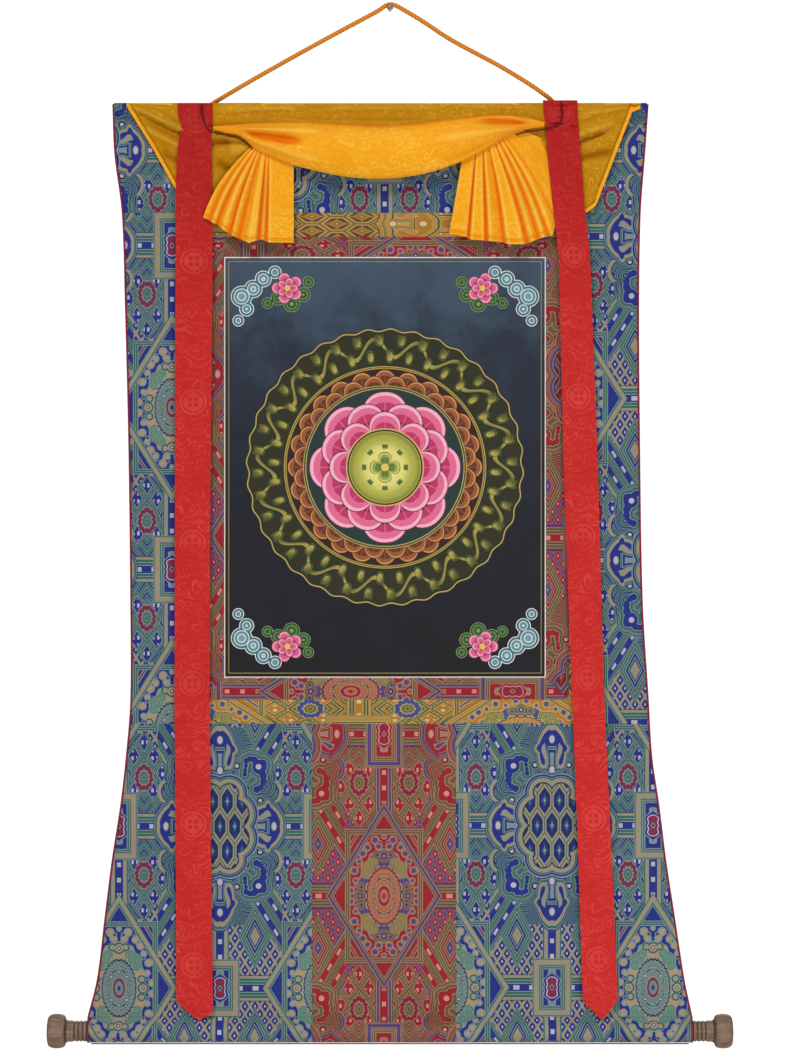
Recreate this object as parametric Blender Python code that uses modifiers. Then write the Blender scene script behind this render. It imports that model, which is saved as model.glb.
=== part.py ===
"""Thangka scroll painting hanging from a wall nail by its cord.

A painted canvas is set in three brocade borders, with a red door panel below it,
a silk cover gathered into a swag and two pleated fans, two long streamers, and a
wooden dowel with turned knobs in the bottom sleeve.

The tables are in millimetres. x runs to the right, z runs up, and "forward" is the
distance in front of the middle of the hanging cloth, towards the viewer. The origin
is the root of the nail on the wall plane.
"""
import math

import bmesh
import bpy
from mathutils import Vector

MM = 0.001
GAP = 0.3
HALF_GAP = GAP / 2
WALL_TO_CLOTH = 18.0

BROCADE_THICK = 2.0
CANVAS_THICK = 1.6
SILK_THICK = 1.2

CLOTH_TOP = -114.0
TOP_HEM_HEIGHT = 17.0
TOP_HEM_DEPTH = 10.0
YELLOW_TOP = -246.0
RED_TOP = -274.8
CANVAS_TOP = -298.8
CANVAS_BOTTOM = -804.0
RED_BOTTOM = -830.4
LOWER_SEAM = -859.2
SLEEVE_STITCH = -1210.8
SLEEVE_BOTTOM = -1242.0
SLEEVE_ALLOWANCE_TOP = -1203.0

YELLOW_LEFT, YELLOW_RIGHT = -256.8, 234.0
RED_LEFT, RED_RIGHT = -226.8, 214.8
CANVAS_LEFT, CANVAS_RIGHT = -199.2, 187.2
DOOR_LEFT, DOOR_RIGHT = -93.6, 79.2

PIPING_RADIUS = 1.2
PIPING_INSET = 2 * PIPING_RADIUS + GAP
BOTTOM_PIPING_RADIUS = 0.8

DOWEL_RADIUS = 11.4
DOWEL_HALF_LENGTH = 360.6
DOWEL_PLAY = 0.6
TENON_RADIUS = 6.0
TENON_LENGTH = 14.0
KNOB_START = 363.6
TURNED_STEPS = 20

NAIL_SHANK_RADIUS = 1.5
NAIL_HEAD_RADIUS = 3.6
NAIL_HEAD_THICK = 1.6
NAIL_SHANK_LENGTH = 19.0

CORD_RADIUS = 2.8
TIE_RADIUS = 0.8

# The outer edges of the hanging, piping included.
OUTLINE = (
    # z, left, right
    (-114.0, -333.6, 310.8),
    (-174.0, -331.2, 306.6),
    (-246.0, -322.2, 301.2),
    (-350.4, -318.6, 299.4),
    (-518.4, -314.4, 300.4),
    (-710.4, -312.0, 303.6),
    (-830.4, -312.0, 310.8),
    (-898.8, -317.4, 315.0),
    (-956.4, -324.0, 323.4),
    (-1022.4, -334.2, 331.7),
    (-1094.4, -343.2, 342.7),
    (-1166.4, -352.2, 353.8),
    (-1210.8, -363.3, 363.3),
)

STREAMER_LEFT = (
    # z, left, right, forward
    (-115.2, -254.4, -212.6, 7.8),
    (-131.0, -253.6, -212.6, 8.3),
    (-143.0, -249.8, -212.8, 8.8),
    (-158.0, -253.0, -213.4, 8.9),
    (-220.0, -256.6, -213.0, 8.8),
    (-278.4, -256.8, -212.4, 8.2),
    (-480.0, -257.6, -214.0, 7.2),
    (-590.0, -257.6, -215.2, 8.0),
    (-830.4, -258.0, -216.0, 7.0),
    (-885.0, -257.6, -215.4, 7.6),
    (-1060.0, -256.4, -213.8, 7.0),
    (-1191.6, -255.8, -212.0, 7.6),
)
STREAMER_LEFT_END = {"left_z": -1191.6, "right_z": -1204.3, "tip_x": -229.4, "tip_z": -1214.4}

STREAMER_RIGHT = (
    # z, left, right, forward
    (-112.0, 183.0, 224.4, 7.8),
    (-130.0, 184.4, 225.0, 8.4),
    (-141.0, 186.4, 225.6, 9.2),
    (-170.4, 187.8, 228.0, 10.0),
    (-236.0, 194.6, 232.8, 9.8),
    (-298.8, 201.6, 239.3, 8.8),
    (-420.0, 205.0, 244.0, 7.4),
    (-577.2, 208.8, 249.6, 7.8),
    (-830.4, 218.4, 256.8, 7.0),
    (-1000.0, 224.8, 264.6, 7.8),
    (-1190.4, 231.0, 272.8, 7.6),
)
STREAMER_RIGHT_END = {"left_z": -1191.6, "right_z": -1189.2, "tip_x": 254.4, "tip_z": -1213.8}

# The lower edge of the cover's flat layer: its two wings and the band between them.
COVER_TOP = -115.0
COVER_BAND = (
    # x, bottom
    (-315.6, -119.0),
    (-286.0, -166.7),
    (-255.2, -221.5),
    (-244.8, -240.0),
    (-212.4, -247.2),
    (-180.0, -236.4),
    (-153.6, -222.0),
    (-146.0, -176.0),
    (-110.0, -168.0),
    (80.0, -166.0),
    (146.0, -168.0),
    (154.0, -216.0),
    (190.0, -238.0),
    (222.0, -243.0),
    (236.4, -246.0),
    (247.0, -237.6),
    (290.0, -126.0),
    (300.0, -122.0),
)
# Creases that run out from the two ties over the flat layer.
WING_CREASES = (
    # tie, direction in degrees, half width in degrees, rise
    ("left", 167.0, 7.0, 1.6),
    ("left", 150.0, 8.0, 1.0),
    ("left", -165.0, 9.0, 1.4),
    ("left", -128.0, 9.0, 1.2),
    ("left", -78.0, 10.0, 1.5),
    ("left", -50.0, 9.0, -1.4),
    ("right", 12.0, 7.0, 1.6),
    ("right", 32.0, 9.0, 0.9),
    ("right", -22.0, 9.0, 1.2),
    ("right", -50.0, 10.0, 1.4),
)
TIE_POINTS = {"left": (-212.0, -146.0), "right": (186.0, -142.0)}

# The swag: its upper roll, its lower fold and how full it hangs, from tie to tie.
SWAG = (
    # x, upper roll, lower fold, fullness
    (-211.4, -143.4, -147.8, 0.08),
    (-194.4, -142.2, -151.8, 0.15),
    (-178.8, -140.8, -155.6, 0.24),
    (-159.6, -139.9, -171.6, 0.38),
    (-138.0, -139.4, -181.2, 0.54),
    (-116.4, -139.2, -189.6, 0.68),
    (-84.0, -140.2, -198.0, 0.85),
    (-48.0, -142.4, -204.6, 0.95),
    (-6.0, -144.0, -206.4, 1.00),
    (36.0, -140.6, -201.6, 0.98),
    (66.0, -136.8, -193.2, 0.92),
    (90.0, -133.8, -183.6, 0.82),
    (120.0, -130.6, -166.8, 0.60),
    (144.0, -130.4, -152.4, 0.38),
    (168.0, -133.6, -146.6, 0.20),
    (184.6, -138.4, -144.4, 0.10),
)
SWAG_SECTION = (
    # share of the drop, forward where it hangs fullest, forward at a tie
    (-0.03, 5.4, 5.6),
    (0.00, 8.0, 8.8),
    (0.05, 11.6, 11.4),
    (0.15, 16.0, 12.8),
    (0.32, 20.6, 13.2),
    (0.55, 24.0, 13.4),
    (0.78, 23.2, 13.4),
    (0.92, 20.4, 13.2),
    (0.99, 17.4, 12.6),
    (1.00, 14.6, 11.6),
    (0.97, 12.0, 10.6),
    (0.86, 10.6, 9.8),
    (0.60, 10.2, 9.4),
)
# Hollows and ridges that run out from the ties over the swag.
SWAG_CREASES = (
    # tie, direction in degrees, half width in degrees, start, end, rise
    ("left", -9.0, 3.6, 30.0, 112.0, -5.5),
    ("left", -20.0, 3.2, 36.0, 150.0, 1.6),
    ("left", -1.0, 3.0, 30.0, 150.0, 2.0),
    ("right", 177.0, 3.4, 14.0, 92.0, -4.5),
    ("right", 168.0, 3.2, 20.0, 130.0, 1.4),
    ("right", -172.0, 3.4, 24.0, 150.0, 1.4),
)

# Each fold of a fan, from under the swag to its hem. Bow is how far its middle
# swings sideways, and lift is how far its middle stands off the straight line.
FAN_LEFT = (
    # top_x, top_z, hem_x, hem_z, forward, bow, lift
    (-161.5, -163.0, -223.6, -252.6, 12.6, -9.0, 0.5),
    (-160.0, -164.0, -216.2, -256.2, 11.6, -7.0, 0.0),
    (-158.6, -165.0, -211.2, -259.8, 15.0, -6.0, 0.8),
    (-157.2, -166.0, -206.4, -261.2, 10.8, -5.0, -0.4),
    (-155.8, -167.0, -194.4, -271.4, 17.0, -3.0, 1.0),
    (-154.2, -168.0, -188.4, -274.8, 16.4, -3.0, 1.0),
    (-152.8, -169.0, -180.7, -277.8, 10.6, -1.0, -0.6),
    (-151.2, -170.0, -168.2, -283.8, 17.6, 0.0, 1.2),
    (-149.6, -171.0, -162.4, -281.6, 16.8, 0.0, 1.0),
    (-148.2, -172.0, -157.0, -279.6, 11.0, 0.0, -0.6),
    (-146.8, -173.0, -152.4, -279.4, 15.8, 0.6, 0.8),
    (-145.2, -174.0, -148.2, -281.2, 11.2, 0.6, -0.6),
    (-143.4, -174.6, -144.2, -282.8, 13.4, 0.0, 0.4),
    (-115.2, -183.0, -115.2, -283.2, 12.4, 0.0, 0.4),
)
FAN_RIGHT = (
    # top_x, top_z, hem_x, hem_z, forward, bow, lift
    (87.6, -175.0, 71.0, -272.2, 12.2, 0.0, 0.4),
    (101.6, -169.0, 91.2, -276.0, 13.8, 0.0, 0.6),
    (103.2, -168.0, 93.2, -277.8, 10.6, 0.0, -0.6),
    (104.8, -167.0, 97.2, -279.6, 15.8, 0.0, 1.0),
    (109.6, -165.0, 111.6, -280.2, 15.0, 0.0, 1.0),
    (111.2, -164.0, 115.2, -280.8, 10.6, 0.0, -0.6),
    (112.8, -163.0, 120.0, -281.4, 16.4, 0.0, 1.0),
    (116.8, -161.0, 135.6, -282.6, 11.2, 2.0, -0.6),
    (118.4, -160.0, 141.6, -285.4, 17.6, 2.0, 1.2),
    (121.6, -158.6, 158.4, -285.2, 16.2, 3.0, 1.0),
    (123.2, -157.6, 164.4, -284.0, 10.6, 3.0, -0.6),
    (124.8, -156.6, 170.4, -281.6, 15.4, 4.0, 1.0),
    (127.6, -155.0, 177.6, -278.4, 10.2, 4.0, -0.6),
    (129.2, -154.0, 183.6, -276.6, 13.6, 5.0, 1.0),
    (131.2, -152.6, 189.6, -274.8, 10.0, 5.0, -0.4),
    (132.8, -151.6, 194.4, -273.8, 10.6, 6.0, 0.6),
    (134.4, -150.6, 199.0, -256.8, 7.0, 5.0, 0.6),
    (136.0, -149.6, 198.4, -237.6, 7.0, 5.0, 2.6),
    (137.6, -148.6, 197.4, -222.0, 7.0, 4.0, 0.2),
    (139.4, -147.4, 195.8, -207.6, 7.0, 3.0, 2.8),
    (142.6, -146.0, 191.2, -182.4, 7.0, 2.0, 1.4),
    (148.8, -144.0, 180.0, -156.8, 8.4, 0.0, 1.0),
)
FAN_TOP_FORWARD = 10.9

# The hanging cord, from behind the top hem over the nail and back.
HANGING_CORD = (
    # x, forward, z
    (-222.0, -8.2, -128.0),
    (-219.8, -8.2, -119.8),
    (-212.0, -8.0, -112.8),
    (-197.4, -7.7, -104.0),
    (-166.8, -7.1, -86.2),
    (-136.2, -6.4, -69.0),
    (-113.2, -5.9, -56.2),
    (-90.2, -5.4, -43.6),
    (-59.6, -4.8, -27.0),
    (-29.0, -4.2, -10.8),
    (-14.0, -3.8, -2.6),
    (-6.4, -3.6, 2.6),
    (0.0, -3.6, 4.9),
    (6.4, -3.6, 3.6),
    (14.2, -3.8, -0.4),
    (31.7, -4.3, -10.6),
    (46.2, -4.6, -19.8),
    (63.6, -5.0, -31.4),
    (81.1, -5.4, -41.8),
    (101.4, -5.9, -52.6),
    (127.7, -6.5, -66.4),
    (148.0, -7.0, -78.2),
    (168.4, -7.4, -90.8),
    (182.9, -7.8, -100.8),
    (193.2, -8.0, -108.6),
    (198.2, -8.2, -116.0),
    (199.4, -8.2, -124.6),
)
TIE_LEFT = (
    # x, forward, z
    (-224.6, 9.8, -117.0),
    (-224.4, 10.2, -128.0),
    (-223.0, 10.9, -137.0),
    (-218.6, 11.2, -145.0),
    (-212.4, 11.6, -150.6),
    (-205.0, 12.0, -152.4),
    (-194.4, 12.4, -154.8),
    (-178.8, 12.8, -158.8),
    (-170.5, 13.1, -165.2),
    (-164.5, 13.3, -171.0),
)
TIE_RIGHT = (
    # x, forward, z
    (205.2, 9.9, -114.0),
    (205.4, 10.5, -126.0),
    (205.0, 11.4, -136.0),
    (200.4, 11.7, -141.8),
    (190.0, 12.0, -145.6),
    (181.0, 12.4, -148.2),
    (168.0, 13.0, -150.2),
    (158.0, 13.4, -152.2),
    (151.0, 13.5, -154.4),
)

COLOURS = {
    # name: red, green, blue, roughness, metallic
    "blue_brocade": (0.10, 0.17, 0.30, 0.60, 0.0),
    "red_brocade": (0.33, 0.06, 0.08, 0.60, 0.0),
    "yellow_brocade": (0.45, 0.30, 0.08, 0.60, 0.0),
    "painted_canvas": (0.06, 0.08, 0.11, 0.70, 0.0),
    "yellow_silk": (0.80, 0.42, 0.04, 0.40, 0.0),
    "red_silk": (0.42, 0.03, 0.04, 0.42, 0.0),
    "piping": (0.24, 0.01, 0.04, 0.60, 0.0),
    "tie_cord": (0.20, 0.01, 0.03, 0.70, 0.0),
    "orange_cord": (0.62, 0.26, 0.03, 0.80, 0.0),
    "turned_wood": (0.25, 0.18, 0.12, 0.60, 0.0),
    "nail_steel": (0.35, 0.34, 0.32, 0.40, 0.9),
}


def clear_scene():
    for old in list(bpy.data.objects):
        bpy.data.objects.remove(old, do_unlink=True)


def collection(name):
    made = bpy.data.collections.new(name)
    bpy.context.scene.collection.children.link(made)
    return made


def material(name):
    found = bpy.data.materials.get(name)
    if found:
        return found
    red, green, blue, rough, metal = COLOURS[name]
    made = bpy.data.materials.new(name)
    made.use_nodes = True
    shader = made.node_tree.nodes["Principled BSDF"]
    shader.inputs["Base Color"].default_value = (red, green, blue, 1.0)
    shader.inputs["Roughness"].default_value = rough
    shader.inputs["Metallic"].default_value = metal
    return made


def place(x, forward, z):
    """A point of the hanging, in metres."""
    return Vector((x, -(WALL_TO_CLOTH + forward), z)) * MM


def smooth(rows, at, column):
    """Read a table at a place, on a smooth curve through its rows."""
    ordered = sorted(rows, key=lambda row: row[0])
    places = [row[0] for row in ordered]
    values = [row[column] for row in ordered]
    last = len(places) - 1
    if at <= places[0]:
        return values[0]
    if at >= places[last]:
        return values[last]
    low = max(i for i in range(last) if places[i] <= at)
    span = places[low + 1] - places[low]
    slopes = []
    for i in (low, low + 1):
        before, after = max(i - 1, 0), min(i + 1, last)
        slopes.append((values[after] - values[before]) / (places[after] - places[before]))
    t = (at - places[low]) / span
    return (values[low] * (2 * t**3 - 3 * t**2 + 1) + slopes[0] * span * (t**3 - 2 * t**2 + t)
            + values[low + 1] * (3 * t**2 - 2 * t**3) + slopes[1] * span * (t**3 - t**2))


def linear(rows, at, column):
    """Read a table at a place, on straight lines between its rows."""
    for near, far in zip(rows, rows[1:]):
        if at <= far[0]:
            share = max(0.0, (at - near[0]) / (far[0] - near[0]))
            return mix(near[column], far[column], share)
    return rows[-1][column]


def mix(start, end, share):
    return start + (end - start) * share


def ease(share):
    """A share from 0 to 1 that starts and ends slowly."""
    share = min(max(share, 0.0), 1.0)
    return share * share * (3 - 2 * share)


def panel_left(z):
    """The left edge of the brocade, inside its piping."""
    return smooth(OUTLINE, z, 1) + PIPING_INSET


def panel_right(z):
    return smooth(OUTLINE, z, 2) - PIPING_INSET


def edge_levels(top, bottom):
    """Heights where the outer edge is sampled, shared by the panels and the piping."""
    rows = [row[0] for row in OUTLINE]
    middles = [(high + low) / 2 for high, low in zip(rows, rows[1:])]
    stations = sorted({*rows, *middles, YELLOW_TOP, LOWER_SEAM}, reverse=True)
    return [top] + [z for z in stations if bottom + 1.0 < z < top - 1.0] + [bottom]


def ripple(x, z):
    """How far the cloth stands forward or back from flat, in its soft waves."""
    share = (CLOTH_TOP - TOP_HEM_HEIGHT - z) / (CLOTH_TOP - TOP_HEM_HEIGHT - SLEEVE_ALLOWANCE_TOP)
    if share <= 0.0 or share >= 1.0:
        return 0.0
    waves = 0.9 * math.cos(x / 98.0 + 0.6) + 0.5 * math.sin(x / 41.0 + z / 160.0)
    curl = 1.6 * abs(x / 330.0) ** 5
    return (waves + curl) * math.sin(math.pi * share) ** 0.6


def add_object(name, mesh, finish, group):
    """Put a mesh in the scene as a named sub-part of one material."""
    made = bpy.data.objects.new(name, mesh)
    mesh.materials.append(material(finish))
    group.objects.link(made)
    return made


def sheet(name, columns, rows, where, thick, finish, group):
    """A grid laid where the function says, made a cloth of even thickness."""
    grid = bmesh.new()
    bmesh.ops.create_grid(grid, x_segments=columns, y_segments=rows, size=0.5)
    for vert in grid.verts:
        vert.co = where(vert.co.x + 0.5, vert.co.y + 0.5)
    mesh = bpy.data.meshes.new(name)
    grid.to_mesh(mesh)
    grid.free()
    made = add_object(name, mesh, finish, group)
    wall = made.modifiers.new("thickness", "SOLIDIFY")
    wall.thickness = thick * MM
    wall.offset = 0.0
    wall.use_even_offset = True
    return made


def cap(body, ring):
    """Close a long thin ring with short faces from its front side to its back side."""
    low, high = 0, len(ring) - 1
    while high - low > 2:
        body.faces.new((ring[low], ring[low + 1], ring[high - 1], ring[high]))
        low, high = low + 1, high - 1
    if high - low == 2:
        body.faces.new((ring[low], ring[low + 1], ring[high]))


def loft(name, rings, finish, group):
    """A solid through like closed rings of points, capped at both ends."""
    body = bmesh.new()
    loops = [[body.verts.new(point) for point in ring] for ring in rings]
    count = len(rings[0])
    for near, far in zip(loops, loops[1:]):
        for i in range(count):
            j = (i + 1) % count
            body.faces.new((near[i], near[j], far[j], far[i]))
    cap(body, loops[0])
    cap(body, loops[-1])
    bmesh.ops.recalc_face_normals(body, faces=body.faces)
    mesh = bpy.data.meshes.new(name)
    body.to_mesh(mesh)
    body.free()
    return add_object(name, mesh, finish, group)


def tube(name, points, radius, finish, group):
    """A round cord through a list of points, with closed ends."""
    curve = bpy.data.curves.new(name, "CURVE")
    curve.dimensions = "3D"
    curve.bevel_depth = radius * MM
    curve.bevel_resolution = 2
    curve.use_fill_caps = True
    spline = curve.splines.new("POLY")
    spline.points.add(len(points) - 1)
    for point, spot in zip(spline.points, points):
        point.co = (*spot, 1.0)
    made = bpy.data.objects.new(name, curve)
    curve.materials.append(material(finish))
    group.objects.link(made)
    return made


def turned(name, profile, steps, finish, group):
    """A turned piece: a profile of radius and distance, spun about its own axis."""
    body = bmesh.new()
    spots = [body.verts.new((radius * MM, 0.0, along * MM)) for radius, along in profile]
    for near, far in zip(spots, spots[1:]):
        body.edges.new((near, far))
    mesh = bpy.data.meshes.new(name)
    body.to_mesh(mesh)
    body.free()
    made = add_object(name, mesh, finish, group)
    spin = made.modifiers.new("turning", "SCREW")
    spin.steps = steps
    spin.render_steps = steps
    spin.use_merge_vertices = True
    spin.merge_threshold = 0.00001
    return made


def route(rows, spacing):
    """Evenly spaced points on one smooth curve through a cord's own points."""
    spots = [place(*row) for row in rows]
    path = []
    for i in range(len(spots) - 1):
        before = spots[max(i - 1, 0)]
        after = spots[min(i + 2, len(spots) - 1)]
        start, end = spots[i], spots[i + 1]
        count = max(1, round((end - start).length / (spacing * MM)))
        for k in range(count):
            t = k / count
            tangent_start, tangent_end = (end - before) / 2, (after - start) / 2
            path.append(start * (2 * t**3 - 3 * t**2 + 1) + tangent_start * (t**3 - 2 * t**2 + t)
                        + end * (3 * t**2 - 2 * t**3) + tangent_end * (t**3 - t**2))
    path.append(spots[-1])
    return path


def flat_panel(name, corners, columns, rows, thick, finish, group):
    """A border strip or the canvas: four corners, laid on the soft waves."""
    (tl_x, tl_z), (tr_x, tr_z), (br_x, br_z), (bl_x, bl_z) = corners

    def where(u, v):
        x = mix(mix(bl_x, br_x, u), mix(tl_x, tr_x, u), v)
        z = mix(mix(bl_z, br_z, u), mix(tl_z, tr_z, u), v)
        return place(x, ripple(x, z), z)

    return sheet(name, columns, rows, where, thick, finish, group)


def side_panel(name, left, right, finish, group):
    """A blue side panel, whose edges are functions of height."""
    levels = edge_levels(YELLOW_TOP - HALF_GAP, LOWER_SEAM + HALF_GAP)
    rows = len(levels) - 1

    def where(u, v):
        z = levels[round((1 - v) * rows)]
        x = mix(left(z), right(z), u)
        return place(x, ripple(x, z), z)

    return sheet(name, 4, rows, where, BROCADE_THICK, finish, group)


def top_panel(group):
    """The top panel with the rounded hem that stiffens it, as one solid."""
    half = BROCADE_THICK / 2
    swell = TOP_HEM_DEPTH / 2
    hem_middle = CLOTH_TOP - TOP_HEM_HEIGHT / 2
    hem_foot = CLOTH_TOP - TOP_HEM_HEIGHT
    levels = edge_levels(hem_foot - 4.0, YELLOW_TOP + HALF_GAP)
    front = [(half, z) for z in reversed(levels)]
    front += [(swell * 0.72, hem_foot + 1.6), (swell, hem_middle), (swell * 0.78, CLOTH_TOP - 2.4)]
    outline = front + [(0.0, CLOTH_TOP)] + [(-forward, z) for forward, z in reversed(front)]
    columns = 20
    rings = []
    for i in range(columns + 1):
        ring = []
        for forward, z in outline:
            x = mix(panel_left(z), panel_right(z), i / columns)
            ring.append(place(x, forward + ripple(x, z), z))
        rings.append(ring)
    return loft("blue_top", rings, "blue_brocade", group)


def sleeve_path():
    """The line of the cloth from the lower seam round the dowel and up behind."""
    middle_z = SLEEVE_BOTTOM + BROCADE_THICK / 2 + sleeve_radius()
    reach = SLEEVE_STITCH - middle_z
    touch = math.acos(sleeve_radius() / reach)
    path = [(0.0, z) for z in edge_levels(LOWER_SEAM - HALF_GAP, SLEEVE_STITCH + 4.0)]
    path.append((0.5, SLEEVE_STITCH))
    turns = 14
    for i in range(turns + 1):
        angle = mix(touch, 2 * math.pi - touch, i / turns)
        path.append((sleeve_radius() * math.sin(angle), middle_z + sleeve_radius() * math.cos(angle)))
    path.append((-(BROCADE_THICK + GAP) - 0.8, SLEEVE_STITCH - 0.6))
    path.append((-(BROCADE_THICK + GAP), SLEEVE_STITCH + 3.0))
    path.append((-(BROCADE_THICK + GAP), SLEEVE_ALLOWANCE_TOP))
    return path


def sleeve_radius():
    return DOWEL_RADIUS + DOWEL_PLAY + BROCADE_THICK / 2


def thicken(path, thick):
    """A closed outline at half the thickness on both sides of an open path."""
    sides = ([], [])
    for i, (forward, z) in enumerate(path):
        before, after = path[max(i - 1, 0)], path[min(i + 1, len(path) - 1)]
        run, rise = after[0] - before[0], after[1] - before[1]
        length = math.hypot(run, rise)
        for side, sign in zip(sides, (1, -1)):
            side.append((forward - sign * rise / length * thick / 2, z + sign * run / length * thick / 2))
    return sides[0] + list(reversed(sides[1]))


def lower_panel(name, left, right, columns, finish, group):
    """A lower panel with its share of the sleeve, one cloth from seam to hem."""
    outline = thicken(sleeve_path(), BROCADE_THICK)
    rings = []
    for i in range(columns + 1):
        ring = []
        for forward, z in outline:
            x = mix(left(z), right(z), i / columns)
            ring.append(place(x, forward + ripple(x, z), z))
        rings.append(ring)
    return loft(name, rings, finish, group)


def borders(group):
    """The canvas and the mitred and butted strips round it."""
    left, right = YELLOW_LEFT + HALF_GAP, YELLOW_RIGHT - HALF_GAP
    strips = (
        # name, top, bottom
        ("yellow_top", YELLOW_TOP, RED_TOP),
        ("yellow_bottom", RED_BOTTOM, LOWER_SEAM),
    )
    for name, top, bottom in strips:
        top, bottom = top - HALF_GAP, bottom + HALF_GAP
        corners = ((left, top), (right, top), (right, bottom), (left, bottom))
        flat_panel(name, corners, 12, 1, BROCADE_THICK, "yellow_brocade", group)
    sides = (("yellow_left", YELLOW_LEFT, RED_LEFT), ("yellow_right", RED_RIGHT, YELLOW_RIGHT))
    for name, left, right in sides:
        left, right = left + HALF_GAP, right - HALF_GAP
        top, bottom = RED_TOP - HALF_GAP, RED_BOTTOM + HALF_GAP
        corners = ((left, top), (right, top), (right, bottom), (left, bottom))
        flat_panel(name, corners, 1, 14, BROCADE_THICK, "yellow_brocade", group)
    red_frame(group)
    left, right = CANVAS_LEFT + HALF_GAP, CANVAS_RIGHT - HALF_GAP
    top, bottom = CANVAS_TOP - HALF_GAP, CANVAS_BOTTOM + HALF_GAP
    corners = ((left, top), (right, top), (right, bottom), (left, bottom))
    flat_panel("canvas", corners, 8, 10, CANVAS_THICK, "painted_canvas", group)


def red_frame(group):
    """Four mitred red strips between the yellow border and the canvas."""
    back_off = 0.26
    left, right = RED_LEFT + HALF_GAP, RED_RIGHT - HALF_GAP
    top, bottom = RED_TOP - HALF_GAP, RED_BOTTOM + HALF_GAP
    in_left, in_right = CANVAS_LEFT - HALF_GAP, CANVAS_RIGHT + HALF_GAP
    in_top, in_bottom = CANVAS_TOP + HALF_GAP, CANVAS_BOTTOM - HALF_GAP
    for name, outer, inner in (("red_top", top, in_top), ("red_bottom", bottom, in_bottom)):
        far = ((left + back_off, outer), (right - back_off, outer))
        near = ((in_right - back_off, inner), (in_left + back_off, inner))
        corners = far + near if name == "red_top" else (near[1], near[0], far[1], far[0])
        flat_panel(name, corners, 12, 1, BROCADE_THICK, "red_brocade", group)
    for name, outer, inner in (("red_left", left, in_left), ("red_right", right, in_right)):
        far = ((outer, top - back_off), (outer, bottom + back_off))
        near = ((inner, in_top - back_off), (inner, in_bottom + back_off))
        first, second = (far, near) if name == "red_left" else (near, far)
        corners = (first[0], second[0], second[1], first[1])
        flat_panel(name, corners, 1, 14, BROCADE_THICK, "red_brocade", group)


def piping(name, side, group):
    """The dark red cord sewn along one side, round the end of the sleeve too."""
    edge, away = (panel_left, -1) if side == "left" else (panel_right, 1)
    spots = [(0.0, z) for z in edge_levels(CLOTH_TOP - 1.5, SLEEVE_STITCH + 4.0)]
    spots += [spot for spot in sleeve_path()[:-2] if spot[1] < SLEEVE_STITCH + 1.0]
    points = []
    for forward, z in spots:
        x = edge(z) + away * (GAP + PIPING_RADIUS)
        points.append(place(x, forward + ripple(edge(z), z), z))
    return tube(name, points, PIPING_RADIUS, "piping", group)


def bottom_piping(group):
    """The thin cord along the underside of the sleeve."""
    z = SLEEVE_BOTTOM - GAP - BOTTOM_PIPING_RADIUS
    columns = 12
    half = DOWEL_HALF_LENGTH - 2.0
    points = [place(mix(-half, half, i / columns), 0.0, z) for i in range(columns + 1)]
    return tube("piping_bottom", points, BOTTOM_PIPING_RADIUS, "piping", group)


def streamer(name, rows, end, group):
    """A hanging ribbon with a pinch at the tie and a pointed end."""
    top = rows[0][0]
    low = rows[-1][0]

    def foot(u):
        tip = (end["tip_x"] - rows[-1][1]) / (rows[-1][2] - rows[-1][1])
        if u < tip:
            return mix(end["left_z"], end["tip_z"], u / tip)
        return mix(end["tip_z"], end["right_z"], (u - tip) / (1 - tip))

    tip_share = (end["tip_x"] - rows[-1][1]) / (rows[-1][2] - rows[-1][1])
    stops = (0.0, tip_share / 2, tip_share, (1 + tip_share) / 2, 1.0)

    def where(u, v):
        u = stops[round(u * 4)]
        z = mix(foot(u), top, v)
        at = max(z, low)
        crown = 0.5 * math.sin(math.pi * u) * math.sin(z / 37.0)
        return place(mix(smooth(rows, at, 1), smooth(rows, at, 2), u), smooth(rows, at, 3) + crown, z)

    return sheet(name, 4, 20, where, SILK_THICK, "red_silk", group)


def crease(x, z, tie, direction, half_width):
    """How strongly a crease that runs out from a tie shows at a place, and how far out."""
    tie_x, tie_z = TIE_POINTS[tie]
    angle = math.degrees(math.atan2(z - tie_z, x - tie_x))
    away = (angle - direction + 180.0) % 360.0 - 180.0
    return math.exp(-(away / half_width) ** 2), math.hypot(x - tie_x, z - tie_z)


def band_forward(x, z):
    """How far the cover's flat layer stands forward: over the hem, with its creases."""
    forward = 5.9 - 0.7 * ease((CLOTH_TOP - TOP_HEM_HEIGHT - z) / 40.0)
    for tie, direction, half_width, rise in WING_CREASES:
        strength, away = crease(x, z, tie, direction, half_width)
        forward += rise * strength * min(1.0, away / 45.0) * ease((CLOTH_TOP - 4.0 - z) / 30.0)
    return forward


def cover_band(group):
    """The flat layer of the cover, from the tip of one wing to the other."""
    stations = [row[0] for row in COVER_BAND]
    columns = 2 * (len(stations) - 1)

    def where(u, v):
        step = u * columns / 2
        low = min(int(step + 1e-6), len(stations) - 2)
        x = mix(stations[low], stations[low + 1], step - low)
        z = mix(linear(COVER_BAND, x, 1), COVER_TOP, v)
        return place(x, band_forward(x, z), z)

    return sheet("cover", columns, 9, where, SILK_THICK, "yellow_silk", group)


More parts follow.
